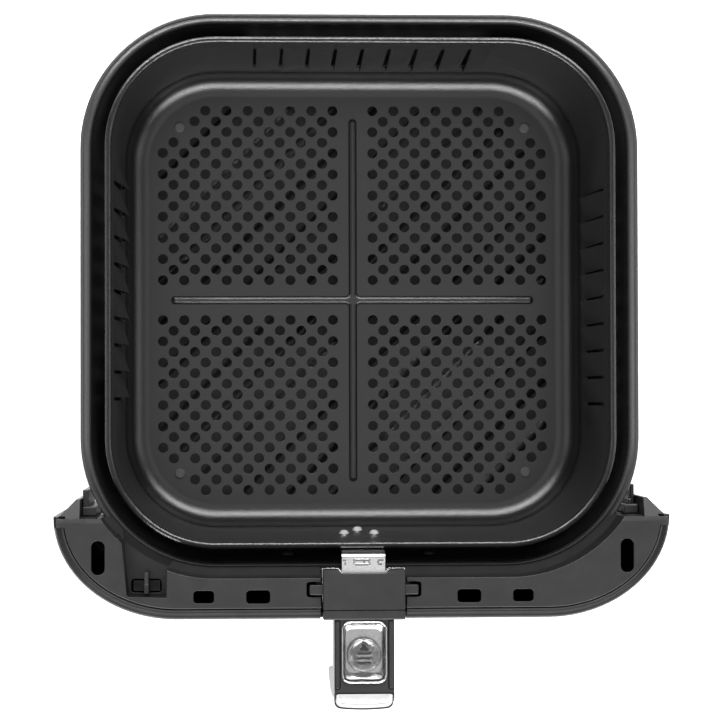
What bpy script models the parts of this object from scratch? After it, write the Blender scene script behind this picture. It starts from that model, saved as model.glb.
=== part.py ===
"""Pull-out drawer of a square air fryer: outer pan, lift-out basket, fascia and latching handle.

Units are metres. +Z is up, +Y points to the rear, and the handle points towards -Y. The origin is the
centre of the pan's flat underside. Every object below is one physical piece.
"""

import math

import bmesh
import bpy
from mathutils import Matrix, Vector

# ---------------------------------------------------------------- driving dimensions
GAP = 0.0003                    # clearance between pieces that touch
ARC_STEPS = 9                   # facets of a rounded corner
TURN_STEPS = 20                 # facets of a turned piece

SHEET = 0.0012                  # steel thickness of pan, basket and brackets
CORNER_CENTRE = 0.0715          # |x| and |y| of the corner arcs' centres, shared by pan and basket

PAN_RIM = 0.1380                # half width of the pan over its rim
PAN_RIM_TOP = 0.1070
PAN_WALL_TOP = 0.1342           # half width of the wall's outer face under the rim
PAN_DRAFT = math.radians(2.5)
PAN_FILLET = 0.0120

BASKET_FLOOR = 0.0160           # height of the basket floor's upper face
BASKET_RIM = 0.1254             # half width over the basket's rim
BASKET_RIM_TOP = 0.1160
BASKET_WALL_TOP = 0.1223        # half width of the wall's inner face under the rim
BASKET_DRAFT = math.radians(2.0)
BASKET_FILLET = 0.0120
RIB_REACH = 0.0960              # half length of the floor's cross ribs
RIB_WIDTH = 0.0040
RIB_HEIGHT = 0.0020
FOOT_AT = 0.0915                # |x| and |y| of the four feet
RIVETS = {                      # x and z of the bracket's rivets
    "left": (-0.0073, 0.0760), "right": (0.0079, 0.0760), "low": (0.0003, 0.0560),
}

PAN_RIB_PITCH = 0.0181          # diagonal ribs of the pan floor
PAN_RIB_OFFSET = -0.0074
PAN_RIB_WIDTH = 0.0060
PAN_RIB_HEIGHT = 0.0025

LOUVRE_COUNT = 9
LOUVRE_PITCH = 0.0134
LOUVRE_LOW = 0.0340
LOUVRE_HIGH = 0.0990
LOUVRE_WIDTH = 0.0026

FASCIA_CENTRE = (0.0900, -0.1090)       # centre of the right end's quarter ellipse
FASCIA_RADII = (0.0600, 0.0500)
FASCIA_LOW = 0.0020
FASCIA_TOP = 0.1315
COVER_TOP = 0.1330
COVER_THICKNESS = 0.0025
COVER_INSET = 0.0058                    # from the fascia's outline to the cover's edge
STEP = 0.1386                           # half width of the line that the cover follows round the pan
COVER_REAR = -0.1097
COVER_WALL = 0.0016                     # thickness of the wall that drops from the step line
LEDGE_HALF = 0.1347                     # half width of the ledge's inner edge, over the pan's rim
LEDGE_LOW = 0.1075
LEDGE_HIGH = 0.1105
POCKET_FLOOR = 0.1085
REAR_CHAMFER = 0.0017
WING_TOP = 0.1290                       # height of the side wings' sloping tops at the cover's rear edge
WING_TILT = math.radians(22)
FASCIA_SCREWS = ((0.108, -0.1420), (0.040, -0.1485), (-0.040, -0.1485), (-0.108, -0.1420))
BRACKET_X = 0.0360                      # |x| and z of the rivets that tie the pan to the carrier
BRACKET_Z = 0.0700
BRACKET_SCREW_X = 0.0500

SADDLE_HALF = 0.0207                    # half width of the sunken saddle for the handle's head
SADDLE_FLOOR = 0.1080
SADDLE_WALL = 0.0020
SADDLE_FRONT = -0.1534
SADDLE_FRONT_TOP = 0.1145
KEEPER_SCREW = (0.0125, -0.1465)        # |x| and y

HEAD_HALF = 0.01985
HEAD_TOP = 0.1370
HEAD_REAR = -0.1330
HEAD_SPLIT = -0.1539                    # parting line between head cover and handle body
HEAD_FRONT = -0.1587
PLATE_LOW = 0.1280                      # underside of the bracket's T-plate
HEAD_SCREW = (0.0142, -0.1462)          # |x| and y
ARM_HALF = 0.01455
ARM_TOP = 0.1360
ARM_LOW = 0.1156
TRIM_CROWN = 0.0038                     # how far the trim's front bulges at its middle

WINDOW_CENTRE = -0.1743
WINDOW_HALF = (0.0113, 0.0153)
BUTTON_AT = -0.1760
BUTTON_RADIUS = 0.0082
BUTTON_TOP = 0.1312
GUARD_LOW = 0.1315
GUARD_HIGH = 0.1332

PIVOT = (-0.1480, 0.1237)               # y and z of the latch lever's pin
CHANNEL_HALF = 0.0036
LEVER_HALF = 0.0028

# Side views of the handle as (y, z) points
GRIP_REAR = [(-0.1690, 0.1156), (-0.1745, 0.1150), (-0.1800, 0.1115), (-0.1838, 0.1040), (-0.1860, 0.0930),
             (-0.1880, 0.0780), (-0.1893, 0.0620), (-0.1900, 0.0480)]
GRIP_SEAM = [(-0.1940, ARM_TOP), (-0.1962, 0.1300), (-0.1980, 0.1180), (-0.1992, 0.1000), (-0.1990, 0.0800),
             (-0.1968, 0.0620), (-0.1932, 0.0510)]
TRIM_FRONT = [(-0.1943, ARM_TOP), (-0.1985, 0.1352), (-0.2008, 0.1325), (-0.2018, 0.1280), (-0.2030, 0.1190),
              (-0.2052, 0.1000), (-0.2070, 0.0800), (-0.2080, 0.0620), (-0.2074, 0.0500), (-0.2052, 0.0432),
              (-0.2010, 0.0396), (-0.1955, 0.0392), (-0.1918, 0.0420), (-0.1902, 0.0468)]


# ---------------------------------------------------------------- scene and helpers
for leftover in list(bpy.data.objects):
    bpy.data.objects.remove(leftover, do_unlink=True)

parts = bpy.data.collections.new("air_fryer_drawer")
cutters = bpy.data.collections.new("cutters")
for collection in (parts, cutters):
    bpy.context.scene.collection.children.link(collection)
cutters.hide_render = True


def material(name, colour, roughness, metallic=0.0, alpha=1.0):
    made = bpy.data.materials.new(name)
    made.use_nodes = True
    shader = made.node_tree.nodes["Principled BSDF"]
    shader.inputs["Base Color"].default_value = (*colour, 1.0)
    shader.inputs["Roughness"].default_value = roughness
    shader.inputs["Metallic"].default_value = metallic
    shader.inputs["Alpha"].default_value = alpha
    return made


NONSTICK = material("nonstick_coating", (0.030, 0.030, 0.032), 0.35, 0.3)
PAN_COAT = material("pan_coating", (0.018, 0.018, 0.019), 0.30, 0.3)
BLACK = material("black_plastic", (0.035, 0.035, 0.037), 0.45)
INNER = material("inner_plastic", (0.025, 0.025, 0.026), 0.55)
STEEL = material("bright_steel", (0.80, 0.80, 0.81), 0.22, 1.0)
SILVER = material("silver_trim", (0.86, 0.86, 0.87), 0.30, 0.6)
CLEAR = material("clear_guard", (0.92, 0.93, 0.94), 0.06, 0.0, 0.35)
RUBBER = material("silicone", (0.10, 0.10, 0.105), 0.75)


def add(name, mesh, finish, place=(0.0, 0.0, 0.0)):
    """A named piece of the drawer. Without a finish it is a cutter."""
    made = bpy.data.objects.new(name, mesh)
    made.location = place
    if finish is None:
        made.hide_render = True
        made.display_type = "WIRE"
        cutters.objects.link(made)
    else:
        mesh.materials.append(finish)
        parts.objects.link(made)
    return made


def finished(work, name, outward=True):
    if outward:
        bmesh.ops.recalc_face_normals(work, faces=work.faces)
    mesh = bpy.data.meshes.new(name)
    work.to_mesh(mesh)
    work.free()
    return mesh


def box(name, low, high, finish=None, bevel=0.0, pivot=(0.0, 0.0, 0.0)):
    """An axis-aligned block between two corners, with its edges broken by bevel."""
    low, high, pivot = Vector(low), Vector(high), Vector(pivot)
    work = bmesh.new()
    bmesh.ops.create_cube(work, size=1.0)
    bmesh.ops.scale(work, vec=high - low, verts=work.verts)
    bmesh.ops.translate(work, vec=(low + high) / 2 - pivot, verts=work.verts)
    if bevel:
        bmesh.ops.bevel(work, geom=work.edges, offset=bevel, segments=2, profile=0.5, affect="EDGES")
    return add(name, finished(work, name), finish, pivot)


def boxes(name, corners, finish=None):
    """Separate blocks in one mesh, for use as one cutter."""
    work = bmesh.new()
    for low, high in corners:
        low, high = Vector(low), Vector(high)
        verts = bmesh.ops.create_cube(work, size=1.0)["verts"]
        bmesh.ops.scale(work, vec=high - low, verts=verts)
        bmesh.ops.translate(work, vec=(low + high) / 2, verts=verts)
    return add(name, finished(work, name), finish)


def rod(radius, top, bottom):
    """Profile of a plain cylinder for turned."""
    return [(0, top), (radius, top), (radius, bottom), (0, bottom)]


def turned(name, profile, place, axis="Z", finish=None, steps=TURN_STEPS):
    """A Screw modifier turns (radius, height) points, listed down the outer side from top to bottom."""
    work = bmesh.new()
    points = [work.verts.new((radius, 0.0, height)) for radius, height in profile]
    for upper, lower in zip(points, points[1:]):
        work.edges.new((upper, lower))
    made = add(name, finished(work, name, outward=False), finish, place)
    screw = made.modifiers.new("turn", "SCREW")
    screw.steps = screw.render_steps = steps
    screw.use_merge_vertices = True
    screw.merge_threshold = 0.00001
    made.rotation_euler = {
        "Z": (0.0, 0.0, 0.0), "Y": (math.radians(-90), 0.0, 0.0), "X": (0.0, math.radians(90), 0.0),
    }[axis]
    return made


def as_mesh(made, finish):
    """The evaluated shape of an object as a plain mesh object of the same name and place."""
    bpy.context.view_layer.update()
    graph = bpy.context.evaluated_depsgraph_get()
    mesh = bpy.data.meshes.new_from_object(made.evaluated_get(graph))
    work = bmesh.new()
    work.from_mesh(mesh)
    bmesh.ops.remove_doubles(work, verts=work.verts, dist=0.00001)
    bmesh.ops.recalc_face_normals(work, faces=work.faces)
    work.to_mesh(mesh)
    work.free()
    mesh.materials.clear()
    name, matrix = made.name, made.matrix_world.copy()
    bpy.data.objects.remove(made, do_unlink=True)
    solid = add(name, mesh, finish)
    solid.name = name
    solid.matrix_world = matrix
    return solid


def prism(name, outline, low, high, finish=None):
    """A flat outline in x and y, filled and extruded from height low to height high."""
    curve = bpy.data.curves.new(name, "CURVE")
    curve.dimensions = "2D"
    curve.fill_mode = "BOTH"
    curve.extrude = (high - low) / 2
    spline = curve.splines.new("POLY")
    spline.points.add(len(outline) - 1)
    for point, (x, y) in zip(spline.points, outline):
        point.co = (x, y, 0.0, 1.0)
    spline.use_cyclic_u = True
    made = bpy.data.objects.new(name, curve)
    made.location = (0.0, 0.0, (low + high) / 2)
    cutters.objects.link(made)
    return as_mesh(made, finish)


def recentre(made, origin):
    """Moves an object's origin and leaves its shape where it is."""
    shift = Matrix.Translation(made.matrix_world.translation - Vector(origin))
    made.data.transform(shift)
    made.matrix_world = Matrix.Translation(origin)


def side_prism(name, outline, half, finish=None):
    """A flat outline in y and z, extruded to half either side of the centre plane."""
    made = prism(name, outline, -half, half, finish)
    # The outline's x and y become the world's y and z.
    made.matrix_world = Matrix(((0, 0, 1, 0), (1, 0, 0, 0), (0, 1, 0, 0), (0, 0, 0, 1)))
    return made


def loft(name, loops, finish=None, closed=False):
    """A closed skin over loops of equal length, capped at both ends or joined end to end."""
    work = bmesh.new()
    rows = [[work.verts.new(point) for point in loop] for loop in loops]
    pairs = list(zip(rows, rows[1:]))
    if closed:
        pairs.append((rows[-1], rows[0]))
    for lower, upper in pairs:
        for i in range(len(lower)):
            j = (i + 1) % len(lower)
            work.faces.new((lower[i], lower[j], upper[j], upper[i]))
    if not closed:
        work.faces.new(rows[0])
        work.faces.new(rows[-1])
    return add(name, finished(work, name), finish)


FINE_SOLIDS = {"handle_body"}            # EXACT leaves slivers where the arm's broken edges meet the head


def combine(target, operand, operation):
    """A Boolean on target. The operand moves to the cutters."""
    for collection in list(operand.users_collection):
        collection.objects.unlink(operand)
    cutters.objects.link(operand)
    operand.hide_render = True
    operand.display_type = "WIRE"
    step = target.modifiers.new(operand.name, "BOOLEAN")
    step.operation = operation
    step.object = operand
    step.solver = "MANIFOLD" if target.name in FINE_SOLIDS else "EXACT"


def cut(target, operand):
    combine(target, operand, "DIFFERENCE")


def join(target, operand):
    combine(target, operand, "UNION")


def rounded_square(half, height, steps=ARC_STEPS, radius=None):
    """Points round a square whose corners keep the centre shared by pan and basket."""
    radius = half - CORNER_CENTRE if radius is None else radius
    centre = half - radius
    points = []
    for corner in range(4):
        for i in range(steps + 1):
            turn = math.radians(90 * corner + 90 * i / steps)
            x = centre * (1 if corner in (0, 3) else -1) + radius * math.cos(turn)
            y = centre * (1 if corner in (0, 1) else -1) + radius * math.sin(turn)
            points.append((x, y, height))
    return points


def rounded_rectangle(centre, half, radius, steps=3):
    """Outline of a rectangle with rounded corners, in two dimensions."""
    outline = []
    for corner in range(4):
        for i in range(steps + 1):
            turn = math.radians(90 * corner + 90 * i / steps)
            side_x = 1 if corner in (0, 3) else -1
            side_y = 1 if corner in (0, 1) else -1
            outline.append((
                centre[0] + side_x * (half[0] - radius) + radius * math.cos(turn),
                centre[1] + side_y * (half[1] - radius) + radius * math.sin(turn),
            ))
    return outline


def arc(centre, radius, start, end, steps):
    """Points on an arc between two angles in degrees."""
    angles = [math.radians(start + (end - start) * i / steps) for i in range(steps + 1)]
    return [(centre[0] + radius * math.cos(a), centre[1] + radius * math.sin(a)) for a in angles]


def smooth(points, steps):
    """A Catmull-Rom curve through the points."""
    ends = [points[0], *points, points[-1]]
    curve = []
    for a, b, c, d in zip(ends, ends[1:], ends[2:], ends[3:]):
        for i in range(steps):
            t = i / steps
            curve.append(tuple(
                0.5 * (2 * b[k] + (c[k] - a[k]) * t + (2 * a[k] - 5 * b[k] + 4 * c[k] - d[k]) * t ** 2
                       + (3 * b[k] - a[k] - 3 * c[k] + d[k]) * t ** 3)
                for k in (0, 1)))
    curve.append(tuple(points[-1]))
    return curve


def strip(line, thickness):
    """Outline of a bent strip of sheet around a centre line in two dimensions."""
    left, right = [], []
    for i, here in enumerate(line):
        before = Vector(line[max(i - 1, 0)])
        after = Vector(line[min(i + 1, len(line) - 1)])
        first = (Vector(here) - before).normalized() if i else (after - Vector(here)).normalized()
        second = (after - Vector(here)).normalized() if i < len(line) - 1 else first
        normal = (first + second).normalized()
        normal = Vector((-normal.y, normal.x))
        reach = thickness / 2 / max(normal.dot(Vector((-first.y, first.x))), 0.3)
        left.append(tuple(Vector(here) + normal * reach))
        right.append(tuple(Vector(here) - normal * reach))
    return left + right[::-1]


# ---------------------------------------------------------------- outer pan
def pan_wall(height):
    """Half width of the pan wall's outer face."""
    return PAN_WALL_TOP - (PAN_RIM_TOP - height) * math.tan(PAN_DRAFT)


def vessel(name, sections, finish):
    return loft(name, [rounded_square(half, height) for half, height in sections], finish)


def fillet_sections(wall, floor, radius, steps=4):
    """(half width, height) up a fillet from a floor to a wall."""
    return [
        (wall - radius + radius * math.sin(math.radians(90 * i / steps)),
         floor + radius - radius * math.cos(math.radians(90 * i / steps)))
        for i in range(steps + 1)
    ]


def make_pan():
    outer_low = pan_wall(PAN_FILLET)
    lip = PAN_RIM_TOP - SHEET
    sections = fillet_sections(outer_low, 0.0, PAN_FILLET)
    sections += [(pan_wall(lip), lip), (PAN_RIM - SHEET, lip), (PAN_RIM - SHEET, PAN_RIM_TOP - 0.0038)]
    sections += [(PAN_RIM, PAN_RIM_TOP - 0.0038), (PAN_RIM, PAN_RIM_TOP - 0.0008)]
    sections += [(PAN_RIM - 0.0008, PAN_RIM_TOP), (PAN_WALL_TOP + 0.0002, PAN_RIM_TOP)]
    sections += [(PAN_WALL_TOP - SHEET, PAN_RIM_TOP - 0.0015)]
    inner = fillet_sections(outer_low - SHEET, SHEET, PAN_FILLET - SHEET)
    pan = vessel("outer_pan", sections + inner[::-1], PAN_COAT)

    ribs = []
    reach = 0.1050 * math.sqrt(2)
    for k in range(-6, 8):
        offset = PAN_RIB_OFFSET + PAN_RIB_PITCH * k
        half = min(reach - abs(offset), 0.1230)
        if half > 0.015:
            ribs.append((offset, half))
    work = bmesh.new()
    turn = Matrix.Rotation(math.radians(45), 4, "Z")
    for offset, half in ribs:
        verts = bmesh.ops.create_cube(work, size=1.0)["verts"]
        for vert in verts:
            narrow = 0.45 if vert.co.z > 0 else 1.0
            vert.co.x *= 2 * half - (0.004 if vert.co.z > 0 else 0.0)
            vert.co.y = vert.co.y * PAN_RIB_WIDTH * narrow - offset
            vert.co.z = SHEET - 0.0006 if vert.co.z < 0 else SHEET + PAN_RIB_HEIGHT
        bmesh.ops.transform(work, matrix=turn, verts=verts)
    join(pan, add("pan_ribs", finished(work, "pan_ribs"), None))

    for side in (-1, 1):
        cut(pan, turned(f"pan_rivet_hole_{side}", rod(0.0019, 0.012, -0.012),
                        (side * BRACKET_X, -0.1335, BRACKET_Z), "Y"))
    return pan


# ---------------------------------------------------------------- basket
def basket_wall(height):
    """Half width of the basket wall's inner face."""
    return BASKET_WALL_TOP - (BASKET_RIM_TOP - height) * math.tan(BASKET_DRAFT)


def make_basket():
    under = BASKET_FLOOR - SHEET
    inner_low = basket_wall(BASKET_FLOOR + BASKET_FILLET)
    lip = BASKET_RIM_TOP - SHEET
    sections = fillet_sections(inner_low + SHEET, under, BASKET_FILLET + SHEET)
    sections += [(basket_wall(lip) + SHEET, lip), (BASKET_RIM - SHEET, lip)]
    sections += [(BASKET_RIM - SHEET, BASKET_RIM_TOP - 0.0030), (BASKET_RIM, BASKET_RIM_TOP - 0.0030)]
    sections += [(BASKET_RIM, BASKET_RIM_TOP - 0.0006), (BASKET_RIM - 0.0006, BASKET_RIM_TOP)]
    sections += [(BASKET_WALL_TOP + 0.0007, BASKET_RIM_TOP), (BASKET_WALL_TOP, BASKET_RIM_TOP - 0.0008)]
    sections += fillet_sections(inner_low, BASKET_FLOOR, BASKET_FILLET)[::-1]
    basket = vessel("basket", sections, NONSTICK)

    low, high = BASKET_FLOOR - 0.0005, BASKET_FLOOR + RIB_HEIGHT
    rib = RIB_WIDTH / 2
    join(basket, prism("cross_rib_x", rounded_rectangle((0, 0), (RIB_REACH, rib), rib * 0.98), low, high))
    join(basket, prism("cross_rib_y", rounded_rectangle((0, 0), (rib, RIB_REACH), rib * 0.98), low, high))

    slots = []
    for i in range(LOUVRE_COUNT):
        along = (i - (LOUVRE_COUNT - 1) / 2) * LOUVRE_PITCH
        a, b = along - LOUVRE_WIDTH / 2, along + LOUVRE_WIDTH / 2
        slots.append(((a, 0.1150, LOUVRE_LOW), (b, 0.1270, LOUVRE_HIGH)))
        for side in (-1, 1):
            x = sorted((side * 0.1150, side * 0.1270))
            slots.append(((x[0], a, LOUVRE_LOW), (x[1], b, LOUVRE_HIGH)))
    cut(basket, boxes("louvre_slots", slots))

    hole = rod(0.0020, 0.006, -0.006)
    for x in (-FOOT_AT, FOOT_AT):
        for y in (-FOOT_AT, FOOT_AT):
            cut(basket, turned(f"foot_hole_{x:.3f}_{y:.3f}", hole, (x, y, BASKET_FLOOR), steps=12))
    for x, z in RIVETS.values():
        cut(basket, turned(f"rivet_hole_{z:.3f}_{x:.3f}", rod(0.0018, 0.004, -0.004),
                           (x, -0.1215, z), "Y", steps=12))
    return basket


def make_feet():
    """Silicone plugs: a flat head on the floor, a neck through it and a tapered foot down to the pan."""
    under = BASKET_FLOOR - SHEET - GAP
    head = BASKET_FLOOR + GAP
    profile = [(0, head + 0.0009), (0.0022, head + 0.0009), (0.0027, head + 0.0004), (0.0027, head)]
    profile += [(0.0017, head), (0.0017, under), (0.0052, under), (0.0044, SHEET + GAP), (0, SHEET + GAP)]
    number = 0
    for y in (FOOT_AT, -FOOT_AT):
        for x in (-FOOT_AT, FOOT_AT):
            number += 1
            turned(f"basket_foot_{number}", profile, (x, y, 0.0), finish=RUBBER, steps=14)


# ---------------------------------------------------------------- fascia
def fascia_line(inset, steps=12):
    """Points from the right rear end round the front to the left rear end."""
    (cx, cy), (a, b) = FASCIA_CENTRE, FASCIA_RADII
    right = []
    for i in range(steps + 1):
        turn = math.radians(90 * i / steps)
        right.append((cx + (a - inset) * math.cos(turn), cy - (b - inset) * math.sin(turn)))
    left = [(-x, y) for x, y in reversed(right)]
    return right + left


def pan_line(half, from_y):
    """Points along the pan's outline, from the right at from_y round the front to the left."""
    radius = half - CORNER_CENTRE
    start = math.degrees(math.asin((from_y + CORNER_CENTRE) / radius))
    right = arc((CORNER_CENTRE, -CORNER_CENTRE), radius, start, -90, 10)
    return right + [(-x, y) for x, y in reversed(right)]


def make_fascia():
    profile = [
        (0.0055, FASCIA_TOP), (0.0034, 0.1311), (0.0015, 0.1297), (0.0004, 0.1268), (0.0, 0.1220),
        (0.0, 0.0560), (0.0006, 0.0250), (0.0018, 0.0090), (0.0036, 0.0036), (0.0062, FASCIA_LOW),
        (0.0160, FASCIA_LOW), (0.0160, 0.0043), (0.0074, 0.0043), (0.0052, 0.0060), (0.0038, 0.0110),
        (0.0030, 0.0260), (0.0025, 0.0560), (0.0025, 0.1220), (0.0029, 0.1262), (0.0040, 0.1284),
        (0.0055, 0.1290),
    ]
    lines = {inset: fascia_line(inset) for inset, _ in profile}
    stations = range(len(lines[0.0]))
    loops = [[(*lines[inset][i], height) for inset, height in profile] for i in stations]
    shell = loft("front_fascia", loops, BLACK)
    cut(shell, box("fascia_notch", (-0.0209, -0.170, SADDLE_FRONT_TOP + 0.0005), (0.0209, -0.140, 0.140)))
    cut(shell, boxes("fascia_end_notches", [
        ((x_low, -0.1142, 0.1262), (x_high, -0.1000, 0.140))
         for x_low, x_high in ((0.140, 0.152), (-0.152, -0.140))]))
    for i, (x, y) in enumerate(FASCIA_SCREWS):
        cut(shell, turned(f"fascia_screw_hole_{i}", rod(0.0019, 0.006, -0.006),
                          (x, y, FASCIA_LOW), steps=12))
    return shell


def make_cover():
    outer = [point for point in fascia_line(COVER_INSET) if point[1] <= COVER_REAR]
    edge_x = FASCIA_CENTRE[0] + (FASCIA_RADII[0] - COVER_INSET)
    outer = [(edge_x, COVER_REAR), *outer, (-edge_x, COVER_REAR)]
    outer = [outer[0]] + [p for p in outer[1:-1] if abs(p[1] - COVER_REAR) > 0.0008] + [outer[-1]]
    inner = pan_line(STEP, COVER_REAR)
    outline = outer + inner[::-1]
    under = COVER_TOP - COVER_THICKNESS
    cover = prism("fascia_top_cover", outline, under, COVER_TOP, BLACK)
    wall = pan_line(STEP, COVER_REAR) + pan_line(STEP + COVER_WALL, COVER_REAR)[::-1]
    join(cover, prism("cover_wall", wall, LEDGE_LOW, under + 0.0010))
    ledge_rear = COVER_REAR - 0.0001
    ledge = pan_line(LEDGE_HALF, ledge_rear) + pan_line(STEP + COVER_WALL / 2, ledge_rear)[::-1]
    join(cover, prism("cover_ledge", ledge, LEDGE_LOW + 0.0001, LEDGE_HIGH))

    half = SADDLE_HALF + SADDLE_WALL
    join(cover, box("saddle_tub", (-half, SADDLE_FRONT, SADDLE_FLOOR - SADDLE_WALL),
                    (half, -STEP - 0.0003, COVER_TOP - 0.0002)))
    tub = [(-0.1188, -0.1180), (-0.1156, -0.1468), (-0.1138, -0.1484), (-0.0937, -0.1490),
           (-0.0937, -0.1395)]
    tub += [(x - 0.0004, y - 0.0006) for x, y in inner if -0.1160 < x < -0.0945]
    join(cover, prism("pocket_tub", tub, POCKET_FLOOR - 0.0016, COVER_TOP - 0.0002))

    cut(cover, box("saddle_space", (-SADDLE_HALF, SADDLE_FRONT + SADDLE_WALL, SADDLE_FLOOR),
                   (SADDLE_HALF, -0.1394, 0.150)))
    cut(cover, box("saddle_rear", (-SADDLE_HALF, -0.1400, PAN_RIM_TOP + 0.0185),
                   (SADDLE_HALF, -0.1370, 0.150)))
    cut(cover, box("saddle_front", (-SADDLE_HALF, -0.1600, SADDLE_FRONT_TOP), (SADDLE_HALF, -0.1500, 0.150)))
    space = [(-0.1171, -0.1143), (-0.1141, -0.1465), (-0.1132, -0.1473), (-0.0951, -0.1477),
             (-0.0949, -0.1343), (-0.0915, -0.1300), (-0.1100, -0.1090)]
    cut(cover, prism("pocket_space", space, POCKET_FLOOR, COVER_TOP + 0.01))
    window = rounded_rectangle((-0.1056, -0.1437), (0.0074, 0.0034), 0.0018)
    cut(cover, prism("pocket_window", window, POCKET_FLOOR - 0.01, COVER_TOP + 0.01))
    for side in (-1, 1):
        low_x, high_x = sorted((side * 0.1430, side * 0.1474))
        join(cover, box(f"corner_tab_{side}", (low_x, -0.1136, 0.1301),
                        (high_x, COVER_REAR - 0.0001, COVER_TOP - 0.0002)))
    far = COVER_REAR + 0.0020
    chamfer = [(COVER_REAR - REAR_CHAMFER - 0.0002, COVER_TOP + 0.0002), (far, COVER_TOP + 0.0002),
               (far, COVER_TOP - REAR_CHAMFER - 0.0020)]
    cut(cover, side_prism("rear_chamfer", chamfer, 0.2))
    for side in (-1, 1):
        for name, centre, half in (
            ("outer", (side * 0.1279, -0.1285), (0.0032, 0.0082)),
            ("middle", (side * 0.0772, -0.1475), (0.0049, 0.0030)),
            ("inner", (side * 0.0510, -0.1476), (0.0057, 0.0032)),
        ):
            slot = rounded_rectangle(centre, half, 0.0031 if name == "outer" else 0.0017)
            cut(cover, prism(f"slot_{name}_{side}", slot, under - 0.01, COVER_TOP + 0.01))
        notch = rounded_rectangle((side * 0.0236, -0.14415), (0.0040, 0.0036), 0.0012)
        cut(cover, prism(f"ear_notch_{side}", notch, under - 0.003, COVER_TOP + 0.01))
        cut(cover, turned(f"keeper_hole_{side}", rod(0.0012, 0.01, -0.01),
                          (side * KEEPER_SCREW[0], KEEPER_SCREW[1], SADDLE_FLOOR), steps=12))
    cut(cover, box("hook_slot", (-CHANNEL_HALF, -0.1525, SADDLE_FLOOR - 0.01),
                   (CHANNEL_HALF, -0.1425, SADDLE_FLOOR + 0.001)))
    return cover


def make_carrier():
    """Floor and rear wall of the fascia's inner moulding, with bosses, end walls and side wings."""
    rear_y = FASCIA_CENTRE[1]
    low, high = 0.0050, 0.0070
    inner = pan_line(STEP + 0.0004, rear_y - 0.0002)
    outer = pan_line(STEP + 0.0024, rear_y - 0.0002)
    carrier = prism("fascia_carrier", fascia_line(0.0072) + inner[::-1], low, high, INNER)
    join(carrier, prism("carrier_wall", inner + outer[::-1], low + 0.0002, LEDGE_LOW - 0.0007))
    join(carrier, boxes("carrier_ends", [
        ((x_low, rear_y - 0.0025, low + 0.0004), (x_high, rear_y - 0.0004, 0.1262))
        for x_low, x_high in ((0.1292, 0.1438), (-0.1438, -0.1292))]))
    for side in (-1, 1):
        wing = [(side * 0.1438, -0.1112), (side * 0.1438, -0.1086), (side * 0.1466, -0.1086),
                (side * 0.1388, -0.1006), (side * 0.1370, -0.1006), (side * 0.1370, -0.1112)]
        slope = math.tan(WING_TILT)
        top = [(x, y, WING_TOP - slope * (y - COVER_REAR)) for x, y in wing]
        join(carrier, loft(f"carrier_wing_{side}", [[(x, y, 0.0300) for x, y in wing], top]))
    for i, (x, y) in enumerate(FASCIA_SCREWS):
        join(carrier, turned(f"boss_{i}", rod(0.0042, 0.060, 0.0055), (x, y, 0.0), steps=14))
        cut(carrier, turned(f"boss_bore_{i}", rod(0.0018, 0.022, 0.0), (x, y, 0.0), steps=12))
    cut(carrier, box("carrier_saddle_window", (-0.0232, -0.1600, 0.1020), (0.0232, -0.1300, 0.140)))
    for side in (-1, 1):
        cut(carrier, turned(f"bracket_screw_hole_{side}", rod(0.0018, 0.004, -0.004),
                            (side * BRACKET_SCREW_X, -0.1400, BRACKET_Z), "Y", steps=12))
    return carrier


def make_side_guides():
    """Runner blocks behind the fascia's ends: a plain block on the left, two fins on the right."""
    rear = FASCIA_CENTRE[1] - 0.0001
    left = box("side_guide_left", (-0.1366, rear, 0.040), (-0.1298, rear + 0.0044, 0.1140), INNER, 0.0005)
    join(left, box("guide_step_left", (-0.1366, rear + 0.002, 0.060), (-0.1336, -0.0965, 0.1100),
                   None, 0.0005))
    right = box("side_guide_right", (0.1298, rear, 0.040), (0.1366, rear + 0.0044, 0.1120), INNER, 0.0005)
    join(right, box("guide_fin_inner", (0.1342, rear + 0.002, 0.060), (0.1364, -0.0950, 0.1000),
                    None, 0.0006))
    join(right, box("guide_fin_outer", (0.1320, rear + 0.001, 0.0900), (0.1338, -0.1020, 0.1090),
                    None, 0.0006))


def make_pan_brackets():
    """A bent strap each side ties the pan's front wall to the carrier."""
    for side, word in ((-1, "left"), (1, "right")):
        line = [(side * 0.029, -0.1341), (side * 0.0425, -0.1341), (side * 0.0437, -0.1353),
                (side * 0.0437, -0.1370), (side * 0.0449, -0.1382), (side * 0.0560, -0.1382)]
        bracket = prism(f"pan_bracket_{word}", strip(line, SHEET), 0.058, 0.082, STEEL)
        hole = rod(0.0018, 0.004, -0.004)
        riveted, screwed = side * BRACKET_X, side * BRACKET_SCREW_X
        for at, x, y in (("pan", riveted, -0.1341), ("carrier", screwed, -0.1382)):
            cut(bracket, turned(f"bracket_hole_{at}_{word}", hole, (x, y, BRACKET_Z), "Y", steps=12))
        rivet = [(0, 0.0029), (0.0018, 0.0026), (0.0029, 0.0016), (0.0029, 0.0010), (0.0014, 0.0010),
                 (0.0014, -0.0028), (0.0026, -0.0028), (0.0026, -0.0038), (0.0012, -0.0044), (0, -0.0044)]
        turned(f"pan_rivet_{word}", rivet, (riveted, -0.13215, BRACKET_Z), "Y", PAN_COAT, 14)
        screw = [(0, 0.0014), (0.0020, 0.0014), (0.0028, 0.0008), (0.0028, 0), (0.0014, 0),
                 (0.0014, -0.0080), (0, -0.0086)]
        turned(f"bracket_screw_{word}", screw, (screwed, -0.1373, BRACKET_Z), "Y", STEEL, 14)


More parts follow.
